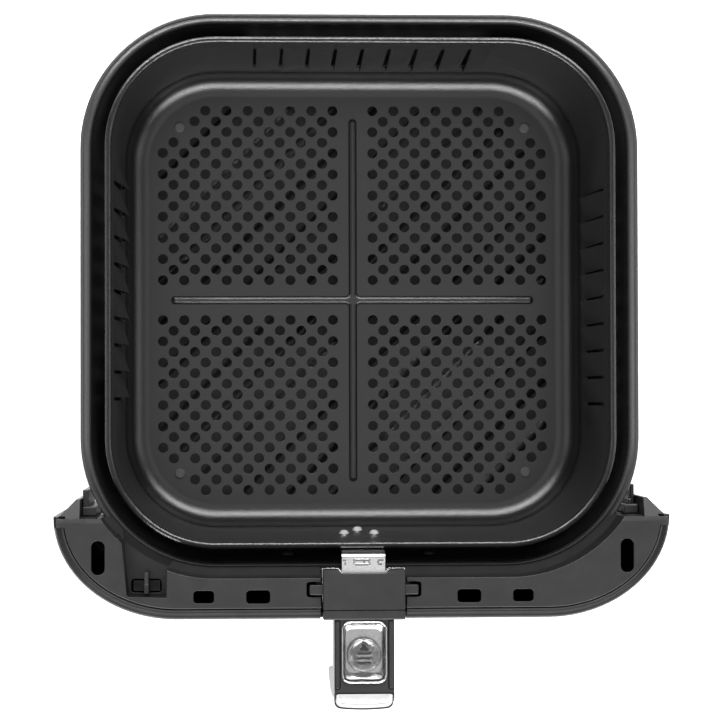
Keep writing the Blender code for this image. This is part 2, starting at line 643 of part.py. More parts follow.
def make_fascia_fasteners():
    # A screw's head is down, so its profile runs from the tip at the top to the head below.
    for i, (x, y) in enumerate(FASCIA_SCREWS, 1):
        screw = [(0, 0.0190), (0.0013, 0.0180), (0.0013, FASCIA_LOW - GAP), (0.0032, FASCIA_LOW - GAP),
                 (0.0030, FASCIA_LOW - 0.0014), (0, FASCIA_LOW - 0.0014)]
        turned(f"fascia_screw_{i}", screw, (x, y, 0.0), finish=STEEL, steps=14)


def make_keeper():
    low = SADDLE_FLOOR + GAP
    keeper = box("latch_keeper", (-0.0180, -0.1511, low), (0.0180, -0.1412, low + SHEET), STEEL)
    cut(keeper, box("keeper_slot", (-CHANNEL_HALF, -0.1525, low - 0.01), (CHANNEL_HALF, -0.1425, low + 0.01)))
    for side, word in ((-1, "left"), (1, "right")):
        cut(keeper, turned(f"keeper_screw_hole_{word}", rod(0.0013, 0.01, -0.01),
                           (side * KEEPER_SCREW[0], KEEPER_SCREW[1], low), steps=12))
        top = low + SHEET + GAP
        screw = [(0, top + 0.0007), (0.0014, top + 0.0007), (0.0019, top), (0.0009, top),
                 (0.0009, SADDLE_FLOOR - SADDLE_WALL - 0.0030), (0, SADDLE_FLOOR - SADDLE_WALL - 0.0035)]
        place = (side * KEEPER_SCREW[0], KEEPER_SCREW[1], 0.0)
        turned(f"keeper_screw_{word}", screw, place, finish=STEEL, steps=12)


def make_switch_tab():
    """Upright tab across the left pocket's opening, on a post that stands on a boss of the carrier."""
    tab = box("switch_tab", (-0.1060, -0.1463, 0.1040), (-0.1037, -0.1413, 0.1286), INNER, 0.0004)
    join(tab, box("switch_tab_tip", (-0.1059, -0.1460, 0.1140), (-0.1038, -0.1358, 0.1284), None, 0.0004))
    join(tab, box("switch_tab_foot", (-0.1120, -0.1464, 0.1020), (-0.0990, -0.1412, 0.1052)))
    join(tab, box("switch_tab_post", (-0.1090, -0.1460, 0.0600 + GAP), (-0.1040, -0.1430, 0.1030)))
    return tab


# ---------------------------------------------------------------- handle
def make_handle_bracket():
    """Steel strap from the basket's front wall, over the pan's rim, to a T-plate inside the handle's head."""
    middle = PLATE_LOW + SHEET / 2
    slope = math.tan(BASKET_DRAFT)
    low_y = -basket_wall(0.048) - SHEET - GAP - SHEET / 2
    line = [(low_y, 0.048), (low_y - slope * 0.058, 0.106), (-0.1266, 0.1110), (-0.1266, middle - 0.0036)]
    line += arc((-0.1302, middle - 0.0036), 0.0036, 0, 90, 4)[1:]
    line += [(-0.1505, middle)]
    strap = side_prism("handle_bracket", strip(line, SHEET), 0.0105, STEEL)
    plate = box("bracket_plate", (-0.0203, -0.1505, PLATE_LOW), (0.0203, -0.1340, PLATE_LOW + SHEET))
    join(strap, plate)
    for side in (-1, 1):
        cut(strap, turned(f"plate_hole_{side}", rod(0.0018, 0.004, -0.004),
                          (side * HEAD_SCREW[0], HEAD_SCREW[1], PLATE_LOW), steps=12))
    for word, (x, z) in RIVETS.items():
        cut(strap, turned(f"strap_hole_{word}", rod(0.0018, 0.004, -0.004),
                          (x, -0.1230, z), "Y", steps=12))
        inner = -basket_wall(z)
        rivet = [(0, 0.0021), (0.0012, 0.0019), (0.0021, 0.0012), (0.0025, 0.0), (0.0014, 0.0),
                 (0.0014, -0.0036), (0.0026, -0.0036), (0.0023, -0.0047), (0, -0.0048)]
        turned(f"bracket_rivet_{word}", rivet, (x, inner + GAP + 0.0001, z), "Y", STEEL, 14)
    return strap


def make_head_cover():
    low = PLATE_LOW + SHEET + GAP
    cover = box("head_cover", (-HEAD_HALF, HEAD_SPLIT, low), (HEAD_HALF, HEAD_REAR, HEAD_TOP), BLACK, 0.0009)
    join(cover, box("head_ears", (-0.0263, -0.1467, 0.1312), (0.0263, -0.1419, 0.1346), None, 0.0006))
    cut(cover, box("strap_notch", (-0.0113, -0.1370, low - 0.002), (0.0113, -0.1300, HEAD_TOP + 0.002)))
    cut(cover, box("guard_garage", (-0.0111, HEAD_SPLIT - 0.002, GUARD_LOW - GAP),
                   (0.0111, -0.1452, GUARD_HIGH + GAP)))
    for side in (-1, 1):
        bore = rod(0.0017, 0.1350, low - 0.002)
        cut(cover, turned(f"head_bore_{side}", bore, (side * HEAD_SCREW[0], HEAD_SCREW[1], 0.0), steps=12))
    return cover


def make_handle_body():
    outline = [(-0.1545, ARM_LOW), (-0.1545, ARM_TOP)] + smooth(GRIP_SEAM, 2) + smooth(GRIP_REAR[::-1], 2)
    body = side_prism("handle_body", outline, ARM_HALF, BLACK)
    edge = body.modifiers.new("edges", "BEVEL")
    edge.width = 0.0012
    edge.segments = 2
    edge.limit_method = "ANGLE"
    edge.angle_limit = math.radians(50)
    edge.use_clamp_overlap = True
    block_top = PLATE_LOW - GAP
    join(body, box("head_block", (-0.0196, -0.1569, ARM_LOW + 0.0001), (0.0196, -0.1412, block_top)))
    join(body, box("head_tongue", (-0.0195, -0.1510, 0.1110), (0.0195, -0.1414, 0.1200)))
    join(body, box("head_front", (-HEAD_HALF, HEAD_FRONT, ARM_LOW + 0.0002),
                   (HEAD_HALF, HEAD_SPLIT - GAP, HEAD_TOP), None, 0.0009))

    wx, wy = WINDOW_HALF
    cut(body, prism("window_space", rounded_rectangle((0, WINDOW_CENTRE), (wx, wy), 0.0033), 0.1248, 0.150))
    cut(body, box("guard_path", (-0.0111, -0.1620, GUARD_LOW - GAP), (0.0111, -0.1530, GUARD_HIGH + GAP)))
    well = rod(0.0099, 0.1260, 0.1198)
    cut(body, turned("button_well", well, (0.0, BUTTON_AT, 0.0)))
    cut(body, box("lever_channel", (-CHANNEL_HALF, -0.1820, 0.1179), (CHANNEL_HALF, -0.1500, 0.1268)))
    cut(body, box("hook_channel", (-CHANNEL_HALF, -0.1522, 0.1000), (CHANNEL_HALF, -0.1424, 0.1300)))
    cut(body, box("access_recess", (-0.0080, -0.1725, 0.1100), (0.0080, -0.1605, 0.1181)))
    pin_bore = rod(0.0018, 0.0083, -0.0083)
    cut(body, turned("pin_bore", pin_bore, (0.0, *PIVOT), "X", steps=14))
    for side in (-1, 1):
        bore = [(0, 0.130), (0.0018, 0.130), (0.0018, 0.1134), (0.0032, 0.1134), (0.0032, 0.105), (0, 0.105)]
        cut(body, turned(f"body_bore_{side}", bore, (side * HEAD_SCREW[0], HEAD_SCREW[1], 0.0), steps=14))
    return body


def make_head_screws():
    for side, word in ((-1, "left"), (1, "right")):
        screw = [(0, 0.1344), (0.0014, 0.1334), (0.0014, 0.1131), (0.0028, 0.1131), (0.0028, 0.1118),
                 (0, 0.1113)]
        place = (side * HEAD_SCREW[0], HEAD_SCREW[1], 0.0)
        turned(f"head_screw_{word}", screw, place, finish=STEEL, steps=14)


def make_trim():
    """The trim bulges forwards at its middle, so its front edge falls back towards both sides."""
    front = smooth(TRIM_FRONT, 2)
    seam = smooth([(y - 0.0003, z) for y, z in GRIP_SEAM], 2)
    outline = front + [(-0.1914, 0.0490)] + seam[::-1][:-1]
    crowned = len(front) - 4
    loops = []
    for i in range(9):
        across = math.sin(math.radians(-90 + 180 * i / 8))
        loop = []
        for k, (y, z) in enumerate(outline):
            depth = max(0.0, min(1.0, (-0.1945 - y) / 0.006)) if k < crowned else 0.0
            loop.append((ARM_HALF * across * 0.985, y + TRIM_CROWN * depth * across ** 2 * abs(across), z))
        loops.append(loop)
    return loft("front_trim", loops, SILVER)


def make_window_parts():
    wx, wy = WINDOW_HALF
    outline = rounded_rectangle((0, WINDOW_CENTRE), (wx - GAP, wy - GAP), 0.0030)
    bezel = prism("window_bezel", outline, GUARD_HIGH + GAP, ARM_TOP + 0.0003, STEEL)
    space = rounded_rectangle((0, WINDOW_CENTRE), (wx - 0.0016, wy - 0.0016), 0.0020)
    cut(bezel, prism("bezel_space", space, 0.130, 0.140))
    tray = prism("button_tray", outline, 0.1251, 0.1271, SILVER)
    hole = rod(BUTTON_RADIUS + 0.0004, 0.130, 0.120)
    cut(tray, turned("tray_hole", hole, (0.0, BUTTON_AT, 0.0)))
    box("arm_bottom_cover", (-0.0077, -0.1722, ARM_LOW + 0.0002), (0.0077, -0.1608, 0.1178), INNER, 0.0003)


def make_moving_parts():
    top = BUTTON_TOP
    button = [(0, top), (BUTTON_RADIUS - 0.0010, top), (BUTTON_RADIUS, top - 0.0010), (BUTTON_RADIUS, 0.1248),
              (0.0094, 0.1248), (0.0094, 0.1236), (0.0016, 0.1236), (0.0016, 0.1229), (0, 0.1229)]
    pivot = (0.0, BUTTON_AT, 0.1236)
    turned("release_button", [(radius, height - pivot[2]) for radius, height in button], pivot, finish=SILVER)

    plate = rounded_rectangle((0, WINDOW_CENTRE), (0.0107, 0.0146), 0.0029)
    guard = prism("button_guard", plate, GUARD_LOW, GUARD_HIGH, CLEAR)
    recentre(guard, (0.0, WINDOW_CENTRE, GUARD_LOW))
    for i in range(3):
        y = -0.1760 - 0.0021 * (i - 0.35)
        join(guard, box(f"guard_ridge_{i}", (-0.0033, y - 0.0005, GUARD_HIGH - 0.0004),
                        (0.0033, y + 0.0005, GUARD_HIGH + 0.0002)))

    y, z = PIVOT
    hub = turned("latch_lever", rod(0.0029, LEVER_HALF, -LEVER_HALF),
                 (0.0, y, z), "X", STEEL)
    join(hub, box("lever_arm", (-0.0025, -0.1790, 0.1210), (0.0025, y, 0.1226)))
    join(hub, box("lever_hook_arm", (-0.0025, y - 0.0016, 0.1032), (0.0025, y + 0.0015, z)))
    join(hub, box("lever_hook", (-0.0025, -0.1521, 0.1032), (0.0025, y, 0.1054)))
    cut(hub, turned("lever_bore", rod(0.00155, 0.005, -0.005), (0.0, y, z), "X", steps=14))
    turned("latch_pin", rod(0.00125, 0.0080, -0.0080), (0.0, y, z), "X", STEEL, 14)

    coil_radius, wire, turns, low, high = 0.0023, 0.00026, 3, 0.11845, 0.12045
    curve = bpy.data.curves.new("latch_spring", "CURVE")
    curve.dimensions = "3D"
    curve.bevel_depth = wire
    curve.bevel_resolution = 1
    curve.use_fill_caps = True
    spline = curve.splines.new("POLY")
    count = 12 * turns
    spline.points.add(count)
    for i, point in enumerate(spline.points):
        turn = 2 * math.pi * i / 12
        across, along = coil_radius * math.cos(turn), coil_radius * math.sin(turn)
        point.co = (across, -0.1580 + along, low + (high - low) * i / count, 1.0)
    spring = bpy.data.objects.new("latch_spring", curve)
    cutters.objects.link(spring)
    as_mesh(spring, STEEL)


# ---------------------------------------------------------------- build
make_pan()
make_basket()
make_feet()
make_fascia()
make_cover()
make_carrier()
make_side_guides()
make_pan_brackets()
make_fascia_fasteners()
make_keeper()
make_switch_tab()
make_handle_bracket()
make_head_cover()
make_handle_body()
make_head_screws()
make_trim()
make_window_parts()
make_moving_parts()

for piece in parts.objects:
    if piece.type == "MESH":
        piece.data.shade_smooth()
        piece.data.set_sharp_from_angle(angle=math.radians(35))
bpy.context.view_layer.update()
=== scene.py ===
"""Looks of a square air fryer's pull-out drawer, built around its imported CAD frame.

Metres, +Z up, handle towards -Y, as in the CAD. Sheet metal, mouldings and the handle get fine edges, the
basket gets its perforated floor and louvres, and every surface gets a procedural material.
"""

import math

import bmesh
import bpy
from mathutils import Matrix, Vector


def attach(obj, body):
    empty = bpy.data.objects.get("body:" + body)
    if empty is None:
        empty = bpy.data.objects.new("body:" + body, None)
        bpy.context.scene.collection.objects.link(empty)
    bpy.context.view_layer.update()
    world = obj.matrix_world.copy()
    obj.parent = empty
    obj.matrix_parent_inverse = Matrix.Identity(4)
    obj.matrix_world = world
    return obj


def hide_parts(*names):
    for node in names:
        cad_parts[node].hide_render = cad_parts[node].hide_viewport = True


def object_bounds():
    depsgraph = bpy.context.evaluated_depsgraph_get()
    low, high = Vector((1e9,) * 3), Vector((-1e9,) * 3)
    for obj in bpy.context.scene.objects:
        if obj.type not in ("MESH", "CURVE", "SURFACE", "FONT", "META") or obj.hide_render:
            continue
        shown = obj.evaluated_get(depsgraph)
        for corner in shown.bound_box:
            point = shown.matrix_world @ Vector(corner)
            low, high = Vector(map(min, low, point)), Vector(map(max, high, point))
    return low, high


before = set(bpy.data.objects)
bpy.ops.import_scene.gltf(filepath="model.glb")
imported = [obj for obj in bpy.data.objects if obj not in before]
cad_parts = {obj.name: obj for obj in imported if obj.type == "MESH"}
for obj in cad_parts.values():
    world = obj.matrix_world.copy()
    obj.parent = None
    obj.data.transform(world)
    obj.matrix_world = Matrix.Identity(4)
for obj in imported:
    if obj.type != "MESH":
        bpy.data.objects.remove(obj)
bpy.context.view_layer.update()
MM = 0.001

# ---------------------------------------------------------------- sizes shared with the CAD
SHEET = 1.2 * MM
CORNER_CENTRE = 71.5 * MM
PAN_RIM = 138.0 * MM
PAN_RIM_TOP = 107.0 * MM
PAN_WALL_TOP = 134.2 * MM
PAN_DRAFT = math.radians(2.5)
BASKET_FLOOR = 16.0 * MM
BASKET_RIM = 125.4 * MM
BASKET_RIM_TOP = 116.0 * MM
BASKET_WALL_TOP = 122.3 * MM
BASKET_DRAFT = math.radians(2.0)
FILLET = 12.0 * MM
STEP = 138.6 * MM
COVER_TOP = 133.0 * MM
COVER_REAR = -109.7 * MM
COVER_INSET = 5.8 * MM
LEDGE_HALF = 134.7 * MM
LEDGE_LOW = 107.5 * MM
LEDGE_HIGH = 110.5 * MM
FASCIA_CENTRE = (90.0 * MM, -109.0 * MM)
FASCIA_RADII = (60.0 * MM, 50.0 * MM)
SADDLE_HALF = 20.7 * MM
SADDLE_FRONT = -151.4 * MM
SADDLE_FLOOR = 108.0 * MM
HEAD_HALF = 19.85 * MM
HEAD_TOP = 137.0 * MM
HEAD_SPLIT = -153.9 * MM
PLATE_LOW = 128.0 * MM
ARM_HALF = 14.55 * MM
ARM_TOP = 136.0 * MM
WINDOW_CENTRE = -174.3 * MM
WINDOW_HALF = (11.0 * MM, 15.0 * MM)
WINDOW_CORNER = 4.3 * MM
BUTTON_AT = -176.0 * MM
BUTTON_TOP = 131.2 * MM
GUARD_LOW = 131.5 * MM
GUARD_HIGH = 133.2 * MM
GUARD_PATH = 11.1 * MM           # half width of the slot that the guard slides in
LATCH_PIN = (-148.0 * MM, 123.7 * MM)
LEVER_PATH = 3.6 * MM            # half width of the slots round the latch lever and its hook
HEAD_SCREW = (14.2 * MM, -146.2 * MM)
PAN_RIVET = (36.0 * MM, 70.0 * MM)
STRAP_RIVETS = ((-7.3 * MM, 76.0 * MM), (7.9 * MM, 76.0 * MM), (0.3 * MM, 56.0 * MM))
FOOT_REACH = 91.5 * MM
GAP = 0.3 * MM

# ---------------------------------------------------------------- sizes of the fine detail
HOLE_PITCH = 5.615 * MM          # the perforation fills every other point of a square grid
HOLE_START = 1.88                # first hole from the centre lines, in pitches
HOLE_COUNT = 17
HOLE_RADIUS = 2.55 * MM
LOUVRE_COUNT = 9
LOUVRE_PITCH = 13.4 * MM
LOUVRE_WIDTH = 11.4 * MM
LOUVRE_LOW = 44.0 * MM
LOUVRE_HIGH = 99.0 * MM
LOUVRE_REACH = 3.2 * MM          # how far a gill stands off the wall, and the same at its top
LOUVRE_TOP_REACH = 1.1 * MM
LOUVRE_SHIFT = 1.6 * MM          # the row of louvres sits this far to one side
LOUVRE_SLIT = 0.8 * MM           # half width of the opening beside each gill
EDGE = 0.4 * MM                  # broken edge of a moulding
CORNER_STEPS = 22


# ---------------------------------------------------------------- materials
class Finish:
    """A Principled material whose colour, roughness and relief come from noise in the piece's own space."""

    def __init__(self, name, roughness, metallic=0.0, **sockets):
        self.material = bpy.data.materials.new(name)
        self.material.use_nodes = True
        self.tree = self.material.node_tree
        self.shader = self.tree.nodes["Principled BSDF"]
        self.shader.inputs["Metallic"].default_value = metallic
        self.shader.inputs["Roughness"].default_value = roughness
        for socket, value in sockets.items():
            self.shader.inputs[socket.replace("_", " ")].default_value = value
        self.place = self.tree.nodes.new("ShaderNodeTexCoord").outputs["Object"]

    def noise(self, size, detail=2.0, stretch=(1.0, 1.0, 1.0)):
        """Noise whose features are about size metres across, stretched along the axes."""
        mapping = self.tree.nodes.new("ShaderNodeMapping")
        mapping.inputs["Scale"].default_value = [1.0 / s for s in stretch]
        texture = self.tree.nodes.new("ShaderNodeTexNoise")
        texture.inputs["Scale"].default_value = 1.0 / size
        texture.inputs["Detail"].default_value = detail
        self.tree.links.new(self.place, mapping.inputs["Vector"])
        self.tree.links.new(mapping.outputs["Vector"], texture.inputs["Vector"])
        return texture.outputs["Fac"]

    def between(self, source, low, high, start=0.3, end=0.7):
        spread = self.tree.nodes.new("ShaderNodeMapRange")
        for socket, value in (("From Min", start), ("From Max", end), ("To Min", low), ("To Max", high)):
            spread.inputs[socket].default_value = value
        self.tree.links.new(source, spread.inputs["Value"])
        return spread.outputs["Result"]

    def colour(self, source, dark, light, start=0.3, end=0.7):
        ramp = self.tree.nodes.new("ShaderNodeValToRGB")
        ramp.color_ramp.elements[0].position = start
        ramp.color_ramp.elements[1].position = end
        ramp.color_ramp.elements[0].color = (*dark, 1.0)
        ramp.color_ramp.elements[1].color = (*light, 1.0)
        self.tree.links.new(source, ramp.inputs["Fac"])
        self.tree.links.new(ramp.outputs["Color"], self.shader.inputs["Base Color"])

    def rough(self, source, low, high):
        self.tree.links.new(self.between(source, low, high), self.shader.inputs["Roughness"])

    def by_height(self, socket, *stops):
        """Sets a socket from (height, value) stops up the piece, with straight runs between them."""
        low, high = stops[0][0], stops[-1][0]
        parts = self.tree.nodes.new("ShaderNodeSeparateXYZ")
        ramp = self.tree.nodes.new("ShaderNodeValToRGB")
        for i, (height, value) in enumerate(stops):
            mark = ramp.color_ramp.elements[i] if i < 2 else ramp.color_ramp.elements.new(1.0)
            mark.position = (height - low) / (high - low)
            mark.color = (value, value, value, 1.0)
        self.tree.links.new(self.place, parts.inputs["Vector"])
        self.tree.links.new(self.between(parts.outputs["Z"], 0.0, 1.0, low, high), ramp.inputs["Fac"])
        self.tree.links.new(ramp.outputs["Color"], self.shader.inputs[socket])

    def relief(self, source, depth):
        bump = self.tree.nodes.new("ShaderNodeBump")
        bump.inputs["Strength"].default_value = 1.0
        bump.inputs["Distance"].default_value = depth
        self.tree.links.new(source, bump.inputs["Height"])
        self.tree.links.new(bump.outputs["Normal"], self.shader.inputs["Normal"])


def grey(value, blue=1.02):
    return (value, value, value * blue)


def nonstick(name, dark, light, shine, *rough):
    """Sprayed coating with fine speckle and orange peel. rough holds (height, roughness) stops."""
    finish = Finish(name, 0.3, 0.0, Specular_IOR_Level=shine)
    finish.colour(finish.noise(0.55 * MM, 3.0), grey(dark), grey(light), 0.35, 0.68)
    finish.by_height("Roughness", *rough)
    finish.relief(finish.noise(0.5 * MM, 2.0), 0.11 * MM)
    return finish.material


def moulded(name, dark, light, roughness, grain=0.35 * MM, depth=0.03 * MM, shine=0.38):
    """Fine spark-eroded grain of a moulded part, with faint broad unevenness."""
    finish = Finish(name, roughness, 0.0, Specular_IOR_Level=shine)
    finish.colour(finish.noise(11 * MM, 3.0), grey(dark), grey(light), 0.3, 0.7)
    finish.rough(finish.noise(1.5 * MM, 2.0), roughness - 0.04, roughness + 0.04)
    finish.relief(finish.noise(grain, 2.0), depth)
    return finish.material


def brushed(name, dark, light, roughness, stretch, metallic=1.0, depth=0.01 * MM):
    """Metal with fine streaks that run along the axis with the largest stretch."""
    finish = Finish(name, roughness, metallic)
    streaks = finish.noise(0.25 * MM, 3.0, stretch)
    finish.colour(streaks, grey(dark, 1.0), grey(light, 1.0), 0.25, 0.75)
    finish.rough(finish.noise(2 * MM, 2.0, stretch), roughness - 0.05, roughness + 0.05)
    finish.relief(streaks, depth)
    return finish.material


def clear_plastic(name):
    finish = Finish(name, 0.05, 0.0, Transmission_Weight=1.0, IOR=1.49)
    finish.colour(finish.noise(5 * MM), grey(0.96, 1.0), grey(1.0, 1.0))
    finish.rough(finish.noise(3 * MM, 3.0), 0.02, 0.07)
    return finish.material


FINISHES = {
    "nonstick_coating": nonstick(
        "nonstick_coating", 0.003, 0.010, 0.54,
        (28 * MM, 0.23), (34 * MM, 0.46), (108 * MM, 0.46), (113 * MM, 0.18)
    ),
    "pan_coating": nonstick(
        "pan_coating", 0.026, 0.040, 0.48,
        (1.3 * MM, 0.44), (1.7 * MM, 0.15), (3.6 * MM, 0.15), (6.0 * MM, 0.48),
        (98 * MM, 0.48), (103 * MM, 0.17)
    ),
    "black_plastic": moulded("black_plastic", 0.008, 0.012, 0.37),
    "inner_plastic": moulded("inner_plastic", 0.008, 0.012, 0.36, 0.5 * MM),
    "fascia_plastic": moulded("fascia_plastic", 0.008, 0.012, 0.40, shine=0.12),
    "dull_plastic": moulded("dull_plastic", 0.010, 0.014, 0.55, 0.5 * MM, 0.03 * MM, 0.14),
    "dark_metal": brushed("dark_metal", 0.60, 0.74, 0.16, (1.0, 1.0, 1.0), 0.6, 0.004 * MM),
    "bright_steel": brushed("bright_steel", 0.45, 0.66, 0.20, (8.0, 1.0, 1.0)),
    "silver_trim": brushed("silver_trim", 0.39, 0.43, 0.32, (1.0, 1.0, 6.0), 0.50, 0.0005 * MM),
    "polished_silver": brushed("polished_silver", 0.26, 0.42, 0.23, (1.0, 1.0, 6.0), 1.0, 0.004 * MM),
    "clear_guard": clear_plastic("clear_guard"),
    "silicone": moulded("silicone", 0.045, 0.060, 0.65, 0.6 * MM, 0.05 * MM),
}


# ---------------------------------------------------------------- mesh helpers
def new_object(name, work):
    bmesh.ops.recalc_face_normals(work, faces=work.faces)
    mesh = bpy.data.meshes.new(name)
    work.to_mesh(mesh)
    work.free()
    made = bpy.data.objects.new(name, mesh)
    bpy.context.scene.collection.objects.link(made)
    return made


def loft(name, loops, closed=False):
    """A skin over loops of equal length, capped at both ends or joined end to end."""
    work = bmesh.new()
    rows = [[work.verts.new(point) for point in loop] for loop in loops]
    pairs = list(zip(rows, rows[1:]))
    if closed:
        pairs.append((rows[-1], rows[0]))
    for lower, upper in pairs:
        for i in range(len(lower)):
            j = (i + 1) % len(lower)
            work.faces.new((lower[i], lower[j], upper[j], upper[i]))
    if not closed:
        work.faces.new(rows[0])
        work.faces.new(rows[-1])
    return new_object(name, work)


def joined(name, objects):
    """One object that holds the meshes of several, which are removed."""
    work = bmesh.new()
    for one in objects:
        one.data.transform(one.matrix_world)
        work.from_mesh(one.data)
        bpy.data.objects.remove(one)
    return new_object(name, work)


def carve(target, operation, *tools):
    """Applies Booleans to target and removes the tools."""
    for tool in tools:
        step = target.modifiers.new(operation, "BOOLEAN")
        step.operation = operation
        step.solver = "MANIFOLD"
        step.object = tool
    bpy.context.view_layer.update()
    graph = bpy.context.evaluated_depsgraph_get()
    mesh = bpy.data.meshes.new_from_object(target.evaluated_get(graph))
    target.modifiers.clear()
    target.data = mesh
    for tool in tools:
        bpy.data.objects.remove(tool)
    return target


def cut(target, *tools):
    return carve(target, "DIFFERENCE", *tools)


def union(target, *tools):
    return carve(target, "UNION", *tools)


def dressed(piece, finish, body, *nodes, sharp=32.0, slot=None):
    """Gives a piece its shading, material and body, and hides the CAD nodes that it stands for."""
    piece.data.materials.clear()
    piece.data.materials.append(FINISHES[finish])
    piece.data.shade_smooth()
    piece.data.set_sharp_from_angle(angle=math.radians(sharp))
    weighted = piece.modifiers.new("normals", "WEIGHTED_NORMAL")
    weighted.keep_sharp = True
    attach(piece, body)
    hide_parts(*nodes)


def inset(outline, distance):
    """The outline moved inwards by distance, with mitred corners."""
    area = sum(a[0] * b[1] - b[0] * a[1] for a, b in zip(outline, outline[1:] + outline[:1]))
    side = 1 if area > 0 else -1
    moved = []
    for i, here in enumerate(outline):
        before = (Vector(here) - Vector(outline[i - 1])).normalized()
        after = (Vector(outline[(i + 1) % len(outline)]) - Vector(here)).normalized()
        first = Vector((-before.y, before.x)) * side
        second = Vector((-after.y, after.x)) * side
        middle = (first + second).normalized()
        moved.append(tuple(Vector(here) + middle * distance / max(middle.dot(first), 0.35)))
    return moved


def quarter(radius, steps=4):
    """(inset, drop) pairs round a quarter circle, from the side face to the top face."""
    turns = [math.radians(90 * i / steps) for i in range(steps + 1)]
    return [(radius * (1 - math.cos(a)), radius * (1 - math.sin(a))) for a in turns]


def layered(name, outline, layers):
    """A plate or plug through (inset, height) layers of one outline."""
    return loft(name, [[(x, y, z) for x, y in inset(outline, d)] for d, z in layers])


def slab(name, outline, low, high, top=EDGE, bottom=0.0):
    """A plate with rounded upper and lower edges."""
    layers = [(d, low + drop) for d, drop in quarter(bottom)[::-1]] if bottom else [(0.0, low)]
    layers += [(d, high - drop) for d, drop in quarter(top)] if top else [(0.0, high)]
    return layered(name, outline, layers)


def mouth(name, outline, low, surface, edge=EDGE):
    """A cutter whose mouth flares, so that the hole's edge at the surface is rounded."""
    layers = [(0.0, low)] + [(-d, surface - drop) for d, drop in quarter(edge)]
    return layered(name, outline, layers + [(-edge, surface + 10 * MM)])


def box(name, low, high):
    corners = [(low[0], low[1]), (high[0], low[1]), (high[0], high[1]), (low[0], high[1])]
    return loft(name, [[(x, y, z) for x, y in corners] for z in (low[2], high[2])])


def arc(centre, radius, start, end, steps):
    angles = [math.radians(start + (end - start) * i / steps) for i in range(steps + 1)]
    return [(centre[0] + radius * math.cos(a), centre[1] + radius * math.sin(a)) for a in angles]


def rounded_rectangle(centre, half, radius, steps=6):
    outline = []
    for corner, (sx, sy) in enumerate(((1, 1), (-1, 1), (-1, -1), (1, -1))):
        middle = (centre[0] + sx * (half[0] - radius), centre[1] + sy * (half[1] - radius))
        outline += arc(middle, radius, 90 * corner, 90 * corner + 90, steps)
    return outline


def rounded_square(half, height):
    """Points round pan or basket, whose corner arcs share their centres."""
    outline = rounded_rectangle((0, 0), (half, half), half - CORNER_CENTRE, CORNER_STEPS)
    return [(x, y, height) for x, y in outline]


def smooth(points, steps):
    """A Catmull-Rom curve through the points."""
    ends = [points[0], *points, points[-1]]
    curve = []
    for a, b, c, d in zip(ends, ends[1:], ends[2:], ends[3:]):
        for i in range(steps):
            t = i / steps
            curve.append(tuple(
                0.5 * (2 * b[k] + (c[k] - a[k]) * t + (2 * a[k] - 5 * b[k] + 4 * c[k] - d[k]) * t ** 2
                       + (3 * b[k] - a[k] - 3 * c[k] + d[k]) * t ** 3)
                for k in (0, 1)))
    curve.append(tuple(points[-1]))
    return curve


def turned(name, profile, place, steps=40):
    """A solid turned about Z from (radius, height) points, top to bottom, from the axis back to the axis."""
    work = bmesh.new()
    rows = []
    turns = [2 * math.pi * i / steps for i in range(steps)]
    for radius, height in profile:
        if radius:
            ring = [(place[0] + radius * math.cos(a), place[1] + radius * math.sin(a), height) for a in turns]
        else:
            ring = [(place[0], place[1], height)]
        rows.append([work.verts.new(point) for point in ring])
    for upper, lower in zip(rows, rows[1:]):
        for i in range(steps):
            j = (i + 1) % steps
            corners = [upper[i % len(upper)], upper[j % len(upper)]]
            corners += [lower[j % len(lower)], lower[i % len(lower)]]
            work.faces.new(list(dict.fromkeys(corners)))
    return new_object(name, work)


def drill(radius, low, high, place, steps=20):
    """A cutter for an upright round hole."""
    return turned("drill", [(0, high), (radius, high), (radius, low), (0, low)], place, steps)


def cross_drill(radius, near, far, place):
    """A cutter for a round hole along y, at place (x, z)."""
    outline = arc(place, radius, 0, 345, 23)
    return loft("drill", [[(x, y, z) for x, z in outline] for y in (near, far)])


def scaled(points):
    """Pairs in millimetres, in metres."""
    return [(a * MM, b * MM) for a, b in points]


def sideways(made):
    """Turns a plate drawn in (y, z) and stacked along x into its place."""
    made.data.transform(Matrix(((0, 0, 1, 0), (1, 0, 0, 0), (0, 1, 0, 0), (0, 0, 0, 1))))
    return made


def fillet(wall, floor, radius, steps=10):
    """(half width, height) up a fillet from a floor to a wall."""
    turns = [math.radians(90 * i / steps) for i in range(steps + 1)]
    return [(wall - radius + radius * math.sin(a), floor + radius - radius * math.cos(a)) for a in turns]


# ---------------------------------------------------------------- pan
def pan_wall(height):
    return PAN_WALL_TOP - (PAN_RIM_TOP - height) * math.tan(PAN_DRAFT)


def pan_ridges():
    """Rounded ridges that cross the pan's floor from front left to rear right."""
    pitch, offset, half_width = 18.1 * MM, -7.4 * MM, 3.0 * MM
    longest, shortest = 123.0 * MM, 15.0 * MM
    flanks = [(0.25, 0.55), (0.6, 0.95), (1.2, 1.32), (1.8, 1.66), (2.3, 1.9), (2.79, 2.0)]
    reach = 105.0 * MM * math.sqrt(2)
    turn = Matrix.Rotation(math.radians(45), 4, "Z")
    ridges = []
    for k in range(-6, 8):
        across = offset + pitch * k
        half = min(reach - abs(across), longest)
        if half < shortest:
            continue
        outline = rounded_rectangle((0, 0), (half, half_width), half_width * 0.96, 8)
        layers = [(0.0, SHEET - 0.6 * MM), (0.0, SHEET + 0.1 * MM)]
        layers += [(step * MM, SHEET + rise * MM) for step, rise in flanks]
        ridge = layered("ridge", outline, layers)
        ridge.data.transform(turn @ Matrix.Translation((0, -across, 0)))
        ridges.append(ridge)
    return joined("ridges", ridges)


